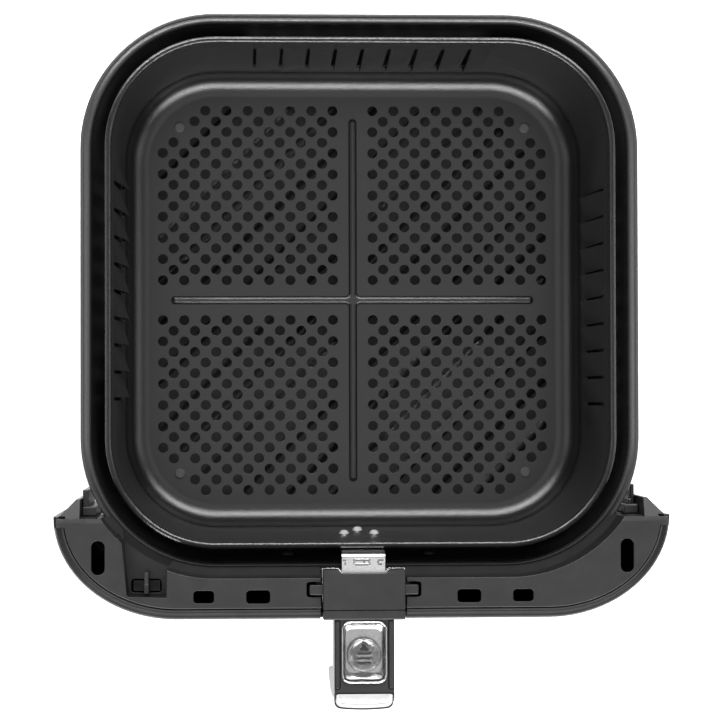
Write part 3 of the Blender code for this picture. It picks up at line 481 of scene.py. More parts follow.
def make_pan():
    top = PAN_RIM_TOP
    lip = top - SHEET
    sections = fillet(pan_wall(FILLET), 0.0, FILLET)
    sections += [(pan_wall(lip), lip), (PAN_RIM - SHEET, lip), (PAN_RIM - SHEET, top - 3.8 * MM)]
    sections += [(PAN_RIM - 0.3 * MM, top - 3.9 * MM), (PAN_RIM, top - 3.6 * MM)]
    sections += [(PAN_RIM - d, top - 0.35 * MM - drop) for d, drop in quarter(0.9 * MM, 5)]
    # A groove divides the outer roll from the bead that turns down into the wall.
    bead = [(136.6, 0.4), (136.2, 0.72), (135.85, 0.78), (135.6, 0.62), (134.9, 0.25), (134.5, 0.08),
            (134.1, 0.0), (133.8, 0.05), (133.4, 0.25), (133.05, 0.65), (132.8, 1.3), (132.65, 2.3)]
    sections += [(half * MM, top - drop * MM) for half, drop in bead]
    sections += fillet(pan_wall(FILLET) - SHEET, SHEET, FILLET - SHEET)[::-1]
    pan = loft("pan_shell", [rounded_square(half, height) for half, height in sections])
    union(pan, pan_ridges())
    holes = [cross_drill(1.9 * MM, -140 * MM, -128 * MM, (side * PAN_RIVET[0], PAN_RIVET[1]))
             for side in (-1, 1)]
    cut(pan, joined("holes", holes))
    dressed(pan, "pan_coating", "drawer", "outer_pan")


# ---------------------------------------------------------------- basket
def basket_wall(height):
    return BASKET_WALL_TOP - (BASKET_RIM_TOP - height) * math.tan(BASKET_DRAFT)


def cross_ribs():
    """Raised cross with rounded ends, filleted where its arms meet."""
    reach, half, bend = 96.0 * MM, 2.15 * MM, 1.8 * MM
    arm = [(half, half + bend), *arc((0, reach - half), half, 0, 180, 12), (-half, half + bend)]
    corner = arc((-half - bend, half + bend), bend, 0, -90, 6)[1:-1]
    outline = []
    for quarter_turn in range(4):
        turn = Matrix.Rotation(math.radians(90 * quarter_turn), 2)
        outline += [tuple(turn @ Vector(p)) for p in arm + corner]
    top = BASKET_FLOOR + 2.0 * MM
    shoulder = [(0.05, 1.5), (0.3, 1.06), (0.65, 0.78), (1.1, 0.57), (1.55, 0.36), (1.8, 0.29), (2.0, 0.32)]
    layers = [(0.0, BASKET_FLOOR - 0.5 * MM), (0.0, BASKET_FLOOR + 0.3 * MM)]
    layers += [(step * MM, top - drop * MM) for step, drop in shoulder]
    return layered("cross_ribs", outline, layers)


def hole_places():
    """Perforation in one quadrant, thinned at its outer corner, and mirrored to the other three."""
    solid = {(15, 15), (15, 17), (16, 16), (17, 15), (17, 17)}
    for a in range(1, HOLE_COUNT + 1):
        for b in range(1, HOLE_COUNT + 1):
            if (a + b) % 2 or (a, b) in solid:
                continue
            x, y = ((n - 1 + HOLE_START) * HOLE_PITCH for n in (a, b))
            yield from ((sx * x, sy * y) for sx in (-1, 1) for sy in (-1, 1))


def perforation():
    """All floor holes as one cutter, flared where the punch rounds the upper edge."""
    steps, edge = 20, 0.25 * MM
    under, top = BASKET_FLOOR - SHEET - 1 * MM, BASKET_FLOOR
    rings = [(HOLE_RADIUS, under), (HOLE_RADIUS, top - edge), (HOLE_RADIUS + 0.3 * edge, top - 0.3 * edge)]
    rings += [(HOLE_RADIUS + edge, top), (HOLE_RADIUS + edge, top + 1 * MM)]
    work = bmesh.new()
    turns = [2 * math.pi * i / steps for i in range(steps)]
    for x, y in hole_places():
        rows = []
        for radius, height in rings:
            ring = [(x + radius * math.cos(a), y + radius * math.sin(a), height) for a in turns]
            rows.append([work.verts.new(point) for point in ring])
        for lower, upper in zip(rows, rows[1:]):
            for i in range(steps):
                j = (i + 1) % steps
                work.faces.new((lower[i], lower[j], upper[j], upper[i]))
        work.faces.new(rows[0][::-1])
        work.faces.new(rows[-1])
    return new_object("perforation", work)


def gill_stand(across, height):
    """How far a gill stands off the wall: most at its left edge and low down, and closed at both ends."""
    closing = 0.7 * MM
    end = min(height - LOUVRE_LOW, LOUVRE_HIGH - height) / closing
    end = max(0.0, min(1.0, end))
    up = max(0.0, min(1.0, (height - LOUVRE_LOW) / (LOUVRE_HIGH - LOUVRE_LOW)))
    reach = LOUVRE_REACH + (LOUVRE_TOP_REACH - LOUVRE_REACH) * max(0.0, 1.5 * up - 0.5)
    return reach * (1 - across) * math.sin(math.pi / 2 * end) ** 0.6


def louvre_sheet(start):
    """One gill of the rear wall: a thin sheet whose left edge stands off, and which overlaps its window."""
    columns, rows, over = 10, 20, 0.3 * MM
    inner_face, outer_face = 0.05 * MM, 1.1 * MM
    inner, outer = [], []
    for i in range(columns + 1):
        across = i / columns
        x = start + LOUVRE_SLIT + (LOUVRE_WIDTH + over - LOUVRE_SLIT) * across
        for j in range(rows + 1):
            height = LOUVRE_LOW - over + (LOUVRE_HIGH - LOUVRE_LOW + 2 * over) * j / rows
            stand = gill_stand(across, height)
            wall = basket_wall(height)
            inner.append((x, wall - stand + inner_face, height))
            outer.append((x, wall - stand + outer_face, height))
    work = bmesh.new()
    faces = [[work.verts.new(point) for point in side] for side in (inner, outer)]
    stride = rows + 1
    for side in faces:
        for i in range(columns):
            for j in range(rows):
                a = i * stride + j
                work.faces.new((side[a], side[a + 1], side[a + stride + 1], side[a + stride]))
    rim = [i * stride for i in range(columns)] + [columns * stride + j for j in range(rows)]
    rim += [i * stride + rows for i in range(columns, 0, -1)] + list(range(rows, 0, -1))
    for a, b in zip(rim, rim[1:] + rim[:1]):
        work.faces.new((faces[0][a], faces[0][b], faces[1][b], faces[1][a]))
    return new_object("louvre", work)


def louvres():
    """(windows, gills) of the rear wall and, turned by 90 degrees, of the side walls."""
    windows, gills = [], []
    for degrees in (0, 90, -90):
        turn = Matrix.Rotation(math.radians(degrees), 4, "Z")
        for i in range(LOUVRE_COUNT):
            start = (i - (LOUVRE_COUNT - 1) / 2) * LOUVRE_PITCH + LOUVRE_SHIFT
            window = box("window", (start - LOUVRE_SLIT, 115 * MM, LOUVRE_LOW),
                         (start + LOUVRE_WIDTH, 127 * MM, LOUVRE_HIGH))
            for made, group in ((window, windows), (louvre_sheet(start), gills)):
                made.data.transform(turn)
                group.append(made)
    return joined("windows", windows), joined("gills", gills)


def make_basket():
    top, lip = BASKET_RIM_TOP, BASKET_RIM_TOP - SHEET
    inner_low = basket_wall(BASKET_FLOOR + FILLET)
    sections = fillet(inner_low + SHEET, BASKET_FLOOR - SHEET, FILLET + SHEET)
    sections += [(basket_wall(lip) + SHEET, lip), (BASKET_RIM - SHEET, lip)]
    sections += [(BASKET_RIM - SHEET, top - 3 * MM)]
    # Two low beads run round the rim with a fine groove between them.
    rim = [(125.4, 3.0), (125.4, 0.9), (125.25, 0.58), (124.95, 0.34), (124.3, 0.05), (124.05, 0.03),
           (123.9, 0.35), (123.75, 0.35), (123.6, 0.03), (123.35, 0.03), (122.75, 0.36), (122.5, 0.62),
           (122.32, 1.2)]
    sections += [(half * MM, top - drop * MM) for half, drop in rim]
    sections += fillet(inner_low, BASKET_FLOOR, FILLET, 14)[::-1]
    basket = loft("basket_shell", [rounded_square(half, height) for half, height in sections])
    windows, gills = louvres()
    cut(basket, windows)
    union(basket, gills, cross_ribs())
    cut(basket, perforation())

    feet = [drill(2.0 * MM, 10 * MM, 22 * MM, (x * FOOT_REACH, y * FOOT_REACH))
            for x in (-1, 1) for y in (-1, 1)]
    rivets = [cross_drill(1.8 * MM, -127 * MM, -117 * MM, place) for place in STRAP_RIVETS]
    cut(basket, joined("small_holes", feet + rivets))
    dressed(basket, "nonstick_coating", "basket_assembly", "basket")


# ---------------------------------------------------------------- fascia and its cover
def fascia_line(inset_by, rear=None, steps=24):
    """Points from the right rear end round the front to the left rear end."""
    (cx, cy), (a, b) = FASCIA_CENTRE, FASCIA_RADII
    first = math.asin((cy - rear) / (b - inset_by)) if rear is not None else 0.0
    right = []
    for i in range(steps + 1):
        turn = first + (math.pi / 2 - first) * i / steps
        right.append((cx + (a - inset_by) * math.cos(turn), cy - (b - inset_by) * math.sin(turn)))
    return right + [(-x, y) for x, y in reversed(right)]


def pan_line(half, rear):
    """Points along the pan's outline, from the right round the front to the left."""
    radius = half - CORNER_CENTRE
    start = math.degrees(math.asin((rear + CORNER_CENTRE) / radius))
    right = arc((CORNER_CENTRE, -CORNER_CENTRE), radius, start, -90, 24)
    return right + [(-x, y) for x, y in reversed(right)]


def make_fascia():
    """Outer shell, swept round the front from (inset, height) profiles of its outside, inside and lip."""
    outer = [(4.2, 130.4), (3.5, 129.9), (2.2, 129.3), (1.0, 128.1), (0.3, 125.6), (0.0, 121.0), (0.0, 90.0),
             (0.0, 56.0), (0.6, 25.0), (1.8, 9.0), (3.6, 3.6), (6.2, 2.0)]
    inner = [(16.0, 2.0), (16.0, 4.3), (7.4, 4.3), (5.2, 6.0), (3.8, 11.0), (3.0, 26.0), (2.5, 56.0),
             (2.5, 122.0), (2.9, 126.2), (4.0, 128.4), (5.5, 129.0)]
    lip = [(5.5, 131.1), (5.3, 131.35), (5.0, 131.48)]
    profile = [(d * MM, z * MM) for d, z in lip + smooth(outer, 4) + inner]
    lines = {d: fascia_line(d) for d, _ in profile}
    stations = range(len(lines[0.0]))
    shell = loft("fascia_shell", [[(*lines[d][i], z) for d, z in profile] for i in stations])
    notches = [box("notch", (-20.9 * MM, -170 * MM, 115 * MM), (20.9 * MM, -140 * MM, 140 * MM))]
    notches += [box("notch", (x, -114.2 * MM, 126.2 * MM), (x + 12 * MM, -100 * MM, 140 * MM))
                for x in (140 * MM, -152 * MM)]
    for x, y in ((108, -142), (40, -148.5), (-40, -148.5), (-108, -142)):
        notches.append(drill(1.9 * MM, -4 * MM, 9 * MM, (x * MM, y * MM)))
    cut(shell, joined("notches", notches))
    dressed(shell, "fascia_plastic", "drawer", "front_fascia", slot="black_plastic")


def cover_outline():
    outer = fascia_line(COVER_INSET, COVER_REAR)
    return outer + pan_line(STEP, COVER_REAR)[::-1]


def tilted_ledge(rear):
    """Strip over the pan's flange, sloping gently down towards the pan."""
    profile = [(LEDGE_HALF, LEDGE_LOW + 0.1 * MM), (LEDGE_HALF, LEDGE_HIGH - 1.3 * MM),
               (LEDGE_HALF + 0.3 * MM, LEDGE_HIGH - 0.9 * MM), (STEP + 0.8 * MM, LEDGE_HIGH),
               (STEP + 0.8 * MM, LEDGE_LOW + 0.1 * MM)]
    lines = [pan_line(half, rear) for half, _ in profile]
    stations = range(len(lines[0]))
    return loft("ledge", [[(*line[i], z) for line, (_, z) in zip(lines, profile)] for i in stations])


def cover_body(under):
    """Plate with its inner wall, corner tabs and the tubs under the saddle and the left pocket."""
    cover = slab("top_cover", cover_outline(), under, COVER_TOP, 0.45 * MM)
    wall = pan_line(STEP, COVER_REAR) + pan_line(STEP + 1.6 * MM, COVER_REAR)[::-1]
    tub_top = COVER_TOP - 0.6 * MM
    tub = box("tub", (-22.7 * MM, -153.4 * MM, 106 * MM), (22.7 * MM, -138.9 * MM, tub_top))
    pocket = [(-118.8, -118.0), (-115.6, -146.8), (-113.8, -148.4), (-93.7, -149.0), (-93.7, -139.5)]
    pocket = scaled(pocket)
    pocket += [(x - 0.4 * MM, y - 0.6 * MM) for x, y in pan_line(STEP, COVER_REAR)[::-1]
               if -116 * MM < x < -94.5 * MM][::-1]
    tabs = []
    for side in (-1, 1):
        tab = [(side * 142.0 * MM, -113.7 * MM), (side * 147.7 * MM, -113.7 * MM)]
        tab += [(side * 147.9 * MM, COVER_REAR), (side * 142.0 * MM, COVER_REAR)]
        tabs.append(slab("tab", tab, under + 0.1 * MM, COVER_TOP - 0.1 * MM, 0.3 * MM))
    union(cover, joined("tabs", tabs))
    union(cover, slab("wall", wall, LEDGE_LOW, under + 1 * MM, 0.0), tub,
          slab("pocket_tub", pocket, 106.9 * MM, tub_top, 0.0))
    return cover


def cover_slots(under):
    """Slots and ear notches of both sides, with the keeper's screw holes and the hook's opening."""
    slots = []
    for side in (-1, 1):
        for centre, half, radius in (((127.9, -128.5), (3.2, 8.2), 3.1), ((77.2, -147.5), (4.9, 3.0), 1.7),
                                     ((51.0, -147.6), (5.7, 3.2), 1.7)):
            centre = (side * centre[0] * MM, centre[1] * MM)
            outline = rounded_rectangle(centre, (half[0] * MM, half[1] * MM), radius * MM)
            slots.append(mouth("slot", outline, under - 8 * MM, COVER_TOP, 0.3 * MM))
        notch = rounded_rectangle((side * 23.6 * MM, -144.15 * MM), (4.0 * MM, 3.6 * MM), 1.2 * MM)
        slots.append(mouth("slot", notch, under - 3 * MM, COVER_TOP, 0.35 * MM))
        slots.append(drill(1.2 * MM, 104 * MM, 110 * MM, (side * 12.5 * MM, -146.5 * MM)))
    slots.append(box("slot", (-LEVER_PATH, -152.5 * MM, 100 * MM), (LEVER_PATH, -142.5 * MM, 109 * MM)))
    return joined("slots", slots)


def make_cover():
    under = COVER_TOP - 2.5 * MM
    saddle_rear = -136.5 * MM
    cover = cover_body(under)

    saddle = [(SADDLE_HALF, SADDLE_FRONT), (SADDLE_HALF, saddle_rear), (-SADDLE_HALF, saddle_rear),
              (-SADDLE_HALF, SADDLE_FRONT)]
    space = scaled([(-117.1, -114.3), (-114.1, -146.5), (-113.2, -147.3), (-95.1, -147.7), (-94.9, -134.3),
                    (-91.5, -130.0), (-110.0, -109.0)])
    cut(cover, mouth("saddle", saddle, 126 * MM, COVER_TOP, 0.3 * MM))
    cut(cover, box("saddle_space", (-SADDLE_HALF, SADDLE_FRONT, SADDLE_FLOOR),
                   (SADDLE_HALF, -139.4 * MM, 128 * MM)))
    cut(cover, box("saddle_front", (-SADDLE_HALF, -160 * MM, 114.5 * MM), (SADDLE_HALF, -150 * MM, 150 * MM)))
    cut(cover, mouth("pocket_space", space, 108.5 * MM, COVER_TOP, 0.3 * MM))
    window = rounded_rectangle((-105.6 * MM, -143.7 * MM), (7.4 * MM, 3.4 * MM), 1.8 * MM)
    cut(cover, mouth("pocket_window", window, 100 * MM, 108.5 * MM, 0.2 * MM))
    near, far = COVER_REAR - 2.2 * MM, COVER_REAR + 2 * MM
    above = COVER_TOP + 0.5 * MM
    chamfer = [(near, COVER_TOP), (near, above), (far, above), (far, COVER_TOP - 1.4 * MM)]
    cut(cover, sideways(loft("chamfer", [[(y, z, x) for y, z in chamfer] for x in (-0.2, 0.2)])))
    cut(cover, cover_slots(under))

    ledge = tilted_ledge(COVER_REAR - 0.1 * MM)
    cut(ledge, box("space", (-SADDLE_HALF, SADDLE_FRONT, 100 * MM), (SADDLE_HALF, -130 * MM, 128 * MM)))
    cut(ledge, slab("space", space, 108.4 * MM, 130 * MM, 0.0))
    dressed(ledge, "dull_plastic", "drawer", "fascia_top_cover", slot="black_plastic")
    dressed(cover, "black_plastic", "drawer", "fascia_top_cover")


# ---------------------------------------------------------------- handle
GRIP_REAR = [(-169.0, 115.6), (-174.5, 115.0), (-180.0, 111.5), (-183.8, 104.0), (-186.0, 93.0),
             (-188.0, 78.0), (-189.3, 62.0), (-190.0, 48.0)]
GRIP_SEAM = [(-194.0, 136.0), (-196.2, 130.0), (-198.0, 118.0), (-199.2, 100.0), (-199.0, 80.0),
             (-196.8, 62.0), (-193.2, 51.0)]
TRIM_FRONT = [(-194.3, 136.0), (-198.7, 135.2), (-201.0, 132.5), (-202.0, 128.0), (-203.2, 119.0),
              (-205.3, 100.0), (-207.0, 80.0), (-208.0, 62.0), (-207.4, 50.0), (-205.2, 43.2),
              (-201.0, 39.6), (-195.5, 39.2), (-191.8, 42.0), (-190.2, 46.8)]


def side_plate(name, outline, half, edge, steps=5):
    """A side view in (y, z) made half wide on each side, with rounded edges."""
    layers = [(d, half - drop) for d, drop in quarter(edge, steps)]
    layers = [(d, -x) for d, x in layers[::-1]] + layers
    loops = [[(y, z, x) for y, z in inset(outline, d)] for d, x in layers]
    return sideways(loft(name, loops))


def screw_bores(profile):
    """Cutter for the head's two screws, from a (radius, height) profile."""
    across, along = HEAD_SCREW
    return joined("bores", [turned("bore", profile, (side * across, along), 20) for side in (-1, 1)])


def make_head_cover():
    low = PLATE_LOW + SHEET + GAP
    rear = -134.4 * MM
    side = [(HEAD_SPLIT, low), (HEAD_SPLIT, HEAD_TOP - 0.25 * MM), (HEAD_SPLIT + 0.25 * MM, HEAD_TOP),
            (-138.6 * MM, HEAD_TOP), (-134.7 * MM, HEAD_TOP - 0.95 * MM), (rear, HEAD_TOP - 1.3 * MM),
            (rear, low)]
    cover = side_plate("head_cover_shell", side, HEAD_HALF, 0.8 * MM)
    ears = rounded_rectangle((0, -144.3 * MM), (26.3 * MM, 2.4 * MM), 0.8 * MM)
    union(cover, slab("ears", ears, 131.2 * MM, 134.6 * MM, 0.5 * MM))
    notch = scaled([(-10.8, -136.6), (10.8, -136.6), (12.6, -134.5), (12.6, -130.0), (-12.6, -130.0),
                    (-12.6, -134.5)])
    cut(cover, slab("notch", notch, low - 2 * MM, HEAD_TOP + 2 * MM, 0.0))
    cut(cover, box("garage", (-GUARD_PATH, HEAD_SPLIT - 2 * MM, GUARD_LOW - GAP),
                   (GUARD_PATH, -145.2 * MM, GUARD_HIGH + GAP)))
    radius, top, under = 1.7 * MM, 135 * MM, low - 2 * MM
    cut(cover, screw_bores([(0, top), (radius, top), (radius, under), (0, under)]))
    dressed(cover, "black_plastic", "basket_assembly", "head_cover")


def handle_solid(arm_top):
    """Grip and arm with the head's block and front, the tongue under it and the rims beside the trim."""
    seam = scaled([(y, min(z, 135.3)) for y, z in GRIP_SEAM])
    outline = [(-154.5 * MM, 115.6 * MM), (-154.5 * MM, arm_top)] + smooth(seam, 4)
    outline += smooth(scaled(GRIP_REAR[::-1]), 4)
    body = side_plate("handle_shell", outline, ARM_HALF, 1.2 * MM)
    front = scaled([(-158.7, 115.8), (-158.7, 135.9), (-158.4, 136.7), (-157.7, 137.0), (-154.45, 137.0),
                    (-154.2, 136.75), (-154.2, 115.8)])
    block = box("block", (-19.6 * MM, -156.9 * MM, 115.7 * MM), (19.6 * MM, -141.2 * MM, PLATE_LOW - GAP))
    union(body, block, side_plate("front", front, HEAD_HALF, 0.8 * MM))
    rim = scaled([(-193.8, 135.2), (-196.6, 134.9), (-198.0, 133.4), (-198.5, 131.4), (-196.0, 129.5)])
    rims = []
    for side in (-1, 1):
        low, high = sorted((side * 13.75 * MM, side * (ARM_HALF - 0.05 * MM)))
        rims.append(sideways(loft("rim", [[(y, z, x) for y, z in rim] for x in (low, high)])))
    union(body, joined("rims", rims))
    union(body, box("tongue", (-19.5 * MM, -151.0 * MM, 111.0 * MM), (19.5 * MM, -141.4 * MM, 120.0 * MM)))
    return body


def side_bars(body, arm_top):
    """A rounded bar in a trough on each side of the window."""
    troughs, bars = [], []
    for side in (-1, 1):
        centre = (side * 12.85 * MM, -175.4 * MM)
        outline = rounded_rectangle(centre, (1.45 * MM, 16.9 * MM), 1.4 * MM)
        troughs.append(slab("trough", outline, arm_top - 1.8 * MM, arm_top + 2 * MM, 0.0))
        outline = rounded_rectangle(centre, (0.95 * MM, 16.4 * MM), 0.9 * MM)
        bars.append(slab("bar", outline, arm_top - 2.2 * MM, arm_top + 0.5 * MM, 0.4 * MM))
    cut(body, joined("troughs", troughs))
    union(body, joined("bars", bars))


def make_handle_body():
    arm_top = ARM_TOP - 0.7 * MM
    body = handle_solid(arm_top)
    side_bars(body, arm_top)

    window = rounded_rectangle((0, WINDOW_CENTRE), (11.3 * MM, 15.3 * MM), 4.6 * MM)
    cut(body, slab("window", window, 124.8 * MM, 150 * MM, 0.0))
    cut(body, box("guard_path", (-GUARD_PATH, -162 * MM, GUARD_LOW - GAP),
                  (GUARD_PATH, -153 * MM, GUARD_HIGH + GAP)))
    cut(body, drill(9.9 * MM, 119.8 * MM, 126 * MM, (0, BUTTON_AT), 40))
    cut(body, box("lever_channel", (-LEVER_PATH, -182 * MM, 117.9 * MM), (LEVER_PATH, -150 * MM, 126.8 * MM)))
    cut(body, box("hook_channel", (-LEVER_PATH, -152.2 * MM, 100 * MM), (LEVER_PATH, -142.4 * MM, 130 * MM)))
    cut(body, box("recess", (-8.0 * MM, -172.5 * MM, 110 * MM), (8.0 * MM, -160.5 * MM, 118.1 * MM)))
    pin = arc(LATCH_PIN, 1.8 * MM, 0, 345, 23)
    cut(body, loft("pin_bore", [[(x, y, z) for y, z in pin] for x in (-8.3 * MM, 8.3 * MM)]))
    cut(body, screw_bores(scaled([(0, 130), (1.8, 130), (1.8, 113.4), (3.2, 113.4), (3.2, 105), (0, 105)])))
    dressed(body, "black_plastic", "basket_assembly", "handle_body")


def crown(across):
    """How far the facing falls back from its middle towards its sides, with rounded corners."""
    bow, corner_depth, corner_width = 0.9 * MM, 2.2 * MM, 0.22
    corner = max(0.0, (abs(across) - 1 + corner_width) / corner_width)
    return bow * across ** 2 + corner_depth * (1 - math.sqrt(max(0.0, 1 - corner ** 2)))


def make_trim():
    """Silver facing down the front of the grip, crowned at its middle and rounded at its sides."""
    front = smooth(scaled(TRIM_FRONT), 4)
    seam = smooth([(y - GAP, z) for y, z in scaled(GRIP_SEAM)], 4)
    outline = front + [(-191.4 * MM, 49.0 * MM)] + seam[::-1][:-1]
    crowned = len(front) - 8         # the last points curl under the grip and stay straight
    half, edge = 13.7 * MM, 1.0 * MM
    crown_from, crown_over = -194.5 * MM, 6 * MM
    loops = []
    for i in range(25):
        across = math.sin(math.radians(-90 + 180 * i / 24))
        near = max(0.0, abs(across) * half - (half - edge)) / edge
        pulled = inset(outline, edge * (1 - math.sqrt(max(0.0, 1 - near ** 2))) * 0.9)
        loop = []
        for k, (y, z) in enumerate(pulled):
            depth = max(0.0, min(1.0, (crown_from - y) / crown_over)) if k < crowned else 0.0
            loop.append((half * across, y + crown(across) * depth, z))
        loops.append(loop)
    dressed(loft("trim_shell", loops), "silver_trim", "basket_assembly", "front_trim", sharp=50.0)


def make_trim_dark_band():
    """Thin band of dark plastic round the facing just below its upper edge, whose rim shows as a dark line
    beside the facing.
    """
    half, front, rear = 14.2 * MM, -202.8 * MM, -195.0 * MM
    turns = [math.sin(math.radians(a)) for a in range(-90, 91, 6)]
    outline = [(half * across, front + crown(across)) for across in turns]
    outline += [(half, rear), (-half, rear)]
    dressed(slab("trim_dark_band", outline, 127.2 * MM, 128.4 * MM, 0.2 * MM), "inner_plastic", "basket_assembly",
            "front_trim", slot="silver_trim")


def make_bezel():
    """Bright ring round the window, whose (inset, height) section runs from outside to inside."""
    section = [(0.0, 133.5), (0.0, 136.0), (0.12, 136.35), (0.4, 136.5), (0.7, 136.4), (1.0, 136.0),
               (1.6, 133.5)]
    loops = []
    for d, z in scaled(section):
        half = (WINDOW_HALF[0] - d, WINDOW_HALF[1] - d)
        outline = rounded_rectangle((0, WINDOW_CENTRE), half, WINDOW_CORNER - d, 8)
        loops.append([(x, y, z) for x, y in outline])
    ring = loft("bezel_ring", loops, closed=True)
    dressed(ring, "bright_steel", "basket_assembly", "window_bezel", sharp=50.0)


def make_tray():
    """Bright basin under the window, from (half width, half length, height) loops, with the button's hole."""
    basin = [(10.95, 14.95, 131.05), (10.5, 14.5, 131.1), (10.3, 14.2, 130.8), (10.1, 13.9, 129.3),
             (9.8, 13.4, 128.8), (9.3, 11.9, 128.05), (8.95, 10.8, 127.5), (8.75, 10.2, 127.2)]
    base = rounded_rectangle((0, WINDOW_CENTRE), WINDOW_HALF, WINDOW_CORNER, 8)
    loops = [[(x, y, 125.1 * MM) for x, y in base]]
    for x_half, y_half, z in basin:
        outline = rounded_rectangle((0, WINDOW_CENTRE), (x_half * MM, y_half * MM), 3.6 * MM, 8)
        loops.append([(x, y, z * MM) for x, y in outline])
    tray = loft("tray_basin", loops)
    hole = scaled([(0, 131), (9.2, 131), (8.75, 127.3), (8.6, 127.0), (8.6, 120), (0, 120)])
    cut(tray, turned("hole", hole, (0, BUTTON_AT), 56))
    dressed(tray, "polished_silver", "basket_assembly", "button_tray", sharp=40.0, slot="silver_trim")


def make_button():
    """Dished push button with a raised rim and a skirt that the tray holds down."""
    top = BUTTON_TOP / MM
    face, dip, steps = 7.2, 1.6, 8
    profile = [(face * i / steps, top - dip * (1 - (i / steps) ** 2)) for i in range(steps + 1)]
    profile += [(7.5, top + 0.02), (7.8, top - 0.08), (8.05, top - 0.3), (8.2, top - 0.8), (8.2, 124.8)]
    profile += [(9.4, 124.8), (9.4, 123.6), (1.6, 123.6), (1.6, 122.9), (0, 122.9)]
    button = turned("button_cap", scaled(profile), (0, BUTTON_AT), 56)
    dressed(button, "polished_silver", "button", "release_button", sharp=50.0, slot="silver_trim")


def make_guard():
    """Clear sliding cover with an arrow and three thumb ridges."""
    outline = rounded_rectangle((0, WINDOW_CENTRE), (10.7 * MM, 14.6 * MM), 4.0 * MM, 8)
    guard = slab("guard_plate", outline, GUARD_LOW, GUARD_HIGH, 0.3 * MM)
    low, high = GUARD_HIGH - 0.4 * MM, GUARD_HIGH + 0.25 * MM
    marks = []
    for i in range(3):
        y = -175.26 * MM - 2.1 * MM * i
        ridge = rounded_rectangle((0, y), (3.3 * MM, 0.5 * MM), 0.45 * MM, 4)
        marks.append(slab("ridge", ridge, low, high, 0.25 * MM))
    arrow = scaled([(-2.6, -173.7), (2.6, -173.7), (0.25, -170.6), (-0.25, -170.6)])
    marks.append(slab("arrow", arrow, low, high, 0.2 * MM))
    dressed(joined("guard_marks", marks), "inner_plastic", "guard", "button_guard", slot="clear_guard")
    dressed(guard, "clear_guard", "guard", "button_guard")


def ribbon(line, half, thickness, edge=0.15 * MM):
    """A bent strip of sheet: (y, z) centre line, half wide each side."""
    left, right = [], []
    for i, here in enumerate(line):
        before, after = Vector(line[max(i - 1, 0)]), Vector(line[min(i + 1, len(line) - 1)])
        first = (Vector(here) - before).normalized() if i else (after - Vector(here)).normalized()
        second = (after - Vector(here)).normalized() if i < len(line) - 1 else first
        normal = (first + second).normalized()
        normal = Vector((-normal.y, normal.x))
        reach = thickness / 2 / max(normal.dot(Vector((-first.y, first.x))), 0.3)
        left.append(tuple(Vector(here) + normal * reach))
        right.append(tuple(Vector(here) - normal * reach))
    return side_plate("ribbon", left + right[::-1], half, edge, 3)


def pressed_grooves(strap, top):
    """V grooves on the strap's flat, as (centre, half size) in millimetres: one cut for each direction."""
    lengthwise = [((-4.5, -131.4), (0.55, 1.5)), ((2.8, -131.4), (0.55, 1.5)), ((0.3, -131.4), (0.5, 0.6)),
                  ((7.0, -131.5), (0.4, 0.95)), ((-8.9, -132.0), (0.35, 0.8))]
    crosswise = [((-0.85, -130.3), (4.2, 0.55)), ((-0.85, -132.4), (4.2, 0.55)), ((8.3, -130.4), (1.4, 0.45)),
                 ((7.9, -132.3), (1.0, 0.5)), ((-9.3, -130.4), (0.8, 0.4))]
    depth = 0.7 * MM
    for rows in (lengthwise, crosswise):
        grooves = []
        for (x, y), (a, b) in rows:
            outline = rounded_rectangle((x * MM, y * MM), (a * MM, b * MM), 0.3 * MM)
            layers = [(0.8 * min(a, b) * MM, top - depth), (0.0, top), (0.0, top + 5 * MM)]
            grooves.append(layered("groove", outline, layers))
        cut(strap, joined("grooves", grooves))


def make_strap():
    """Steel strap over the pan's rim, with a T-plate in the head and grooves pressed into its flat."""
    middle, top = PLATE_LOW + SHEET / 2, PLATE_LOW + SHEET
    bend, bend_y = 3.6 * MM, -130.2 * MM
    slope = math.tan(BASKET_DRAFT)
    low_y = -basket_wall(48 * MM) - SHEET - GAP - SHEET / 2
    line = [(low_y, 48 * MM), (low_y - slope * 58 * MM, 106 * MM), (-126.6 * MM, 111 * MM)]
    line += [(-126.6 * MM, middle - bend)] + arc((bend_y, middle - bend), bend, 0, 90, 10)[1:]
    line += [(-150.5 * MM, middle)]
    strap = ribbon(line, 10.5 * MM, SHEET)
    strap.name = "strap"
    plate = [(20.1, -150.5), (20.1, -134.15), (12.2, -134.15), (10.4, -136.1)]
    plate = scaled(plate + [(-x, y) for x, y in reversed(plate)])
    union(strap, slab("plate", plate, PLATE_LOW, top, 0.15 * MM))
    pressed_grooves(strap, top)
    rivets = [cross_drill(1.8 * MM, -127 * MM, -119 * MM, place) for place in STRAP_RIVETS]
    bores = screw_bores(scaled([(0, 135), (1.8, 135), (1.8, 125), (0, 125)]))
    cut(strap, joined("holes", [bores] + rivets))
    dressed(strap, "bright_steel", "basket_assembly", "handle_bracket")


def make_spring():
    """Return spring under the lever, drawn short enough to leave room for the lever at full press."""
    coil, wire, turns, steps = 2.3 * MM, 0.22 * MM, 2, 24
    low, high = 118.45 * MM, 119.45 * MM
    centre_y = -158.0 * MM
    loops = []
    for i in range(turns * steps + 1):
        turn = 2 * math.pi * i / steps
        rise = low + (high - low) * i / (turns * steps)
        loop = []
        for k in range(8):
            around = 2 * math.pi * k / 8
            reach = coil + wire * math.cos(around)
            x, y = reach * math.cos(turn), centre_y + reach * math.sin(turn)
            loop.append((x, y, rise + wire * math.sin(around)))
        loops.append(loop)
    dressed(loft("spring_coil", loops), "bright_steel", "basket_assembly", "latch_spring")


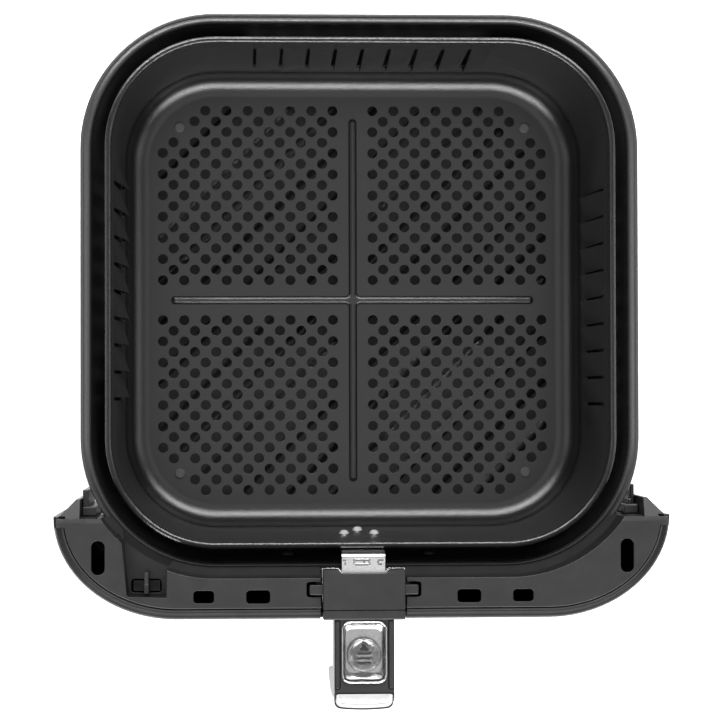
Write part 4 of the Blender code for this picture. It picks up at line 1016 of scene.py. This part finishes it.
# ---------------------------------------------------------------- stage, light and camera
def make_stage():
    """White paper that also glows a little, so that it stays white under the object."""
    size = 6.0
    work = bmesh.new()
    corners = [work.verts.new((x * size, y * size, 0.0)) for x, y in ((-1, -1), (1, -1), (1, 1), (-1, 1))]
    work.faces.new(corners)
    floor = new_object("floor", work)
    floor.location.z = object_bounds()[0].z - 0.2 * MM
    paper = Finish("paper", 0.9, 0.0, Specular_IOR_Level=0.0)
    paper.colour(paper.noise(0.4), grey(0.90, 1.0), grey(0.92, 1.0))
    paper.shader.inputs["Emission Color"].default_value = (1.0, 1.0, 1.0, 1.0)
    paper.shader.inputs["Emission Strength"].default_value = 0.35
    floor.data.materials.append(paper.material)


def softbox(name, place, target, size, power):
    lamp = bpy.data.lights.new(name, "AREA")
    lamp.shape = "RECTANGLE"
    lamp.size, lamp.size_y = size
    lamp.energy = power
    made = bpy.data.objects.new(name, lamp)
    made.location = place
    made.rotation_euler = (Vector(target) - Vector(place)).to_track_quat("-Z", "Y").to_euler()
    bpy.context.scene.collection.objects.link(made)


def make_light():
    aim = (0, 0, 0.05)
    softbox("rear_softbox", (0.0, 1.15, 0.98), aim, (2.6, 0.36), 58)
    softbox("front_softbox", (0.0, -1.20, 0.98), aim, (2.6, 0.36), 58)
    softbox("right_softbox", (1.3, 0.0, 0.9), aim, (0.5, 1.0), 4)
    softbox("left_softbox", (-1.3, 0.0, 0.9), aim, (0.5, 1.0), 3)
    softbox("overhead_panel", (0.0, 0.0, 2.1), (0, 0, 0.0), (1.9, 1.9), 12)
    world = bpy.data.worlds.new("studio")
    world.use_nodes = True
    sky = world.node_tree.nodes["Background"]
    sky.inputs["Color"].default_value = (1.0, 1.0, 1.0, 1.0)
    sky.inputs["Strength"].default_value = 0.14
    bpy.context.scene.world = world
    bpy.context.scene.view_settings.view_transform = "Standard"


def make_camera():
    lens = bpy.data.cameras.new("camera")
    lens.lens = 125.0
    lens.sensor_width = 36.0
    lens.clip_end = 20.0
    camera = bpy.data.objects.new("camera", lens)
    camera.location = (-57.1 * MM, -52.4 * MM, 1339 * MM)
    camera.rotation_euler = [math.radians(a) for a in (0.90, -2.63, -0.15)]
    bpy.context.scene.collection.objects.link(camera)
    bpy.context.scene.camera = camera


# ---------------------------------------------------------------- build
make_pan()
make_basket()
make_fascia()
make_cover()
make_head_cover()
make_handle_body()
make_trim_dark_band()
make_trim()
make_bezel()
make_tray()
make_button()
make_guard()
make_strap()
make_spring()
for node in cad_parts.values():
    for held in node.material_slots:
        held.material = FINISHES[held.material.name.split(".")[0]]
for side in ("left", "right"):
    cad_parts[f"pan_rivet_{side}"].material_slots[0].material = FINISHES["pan_coating"]
for place in ("left", "right", "low"):
    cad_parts[f"bracket_rivet_{place}"].material_slots[0].material = FINISHES["dark_metal"]
make_stage()
make_light()
make_camera()
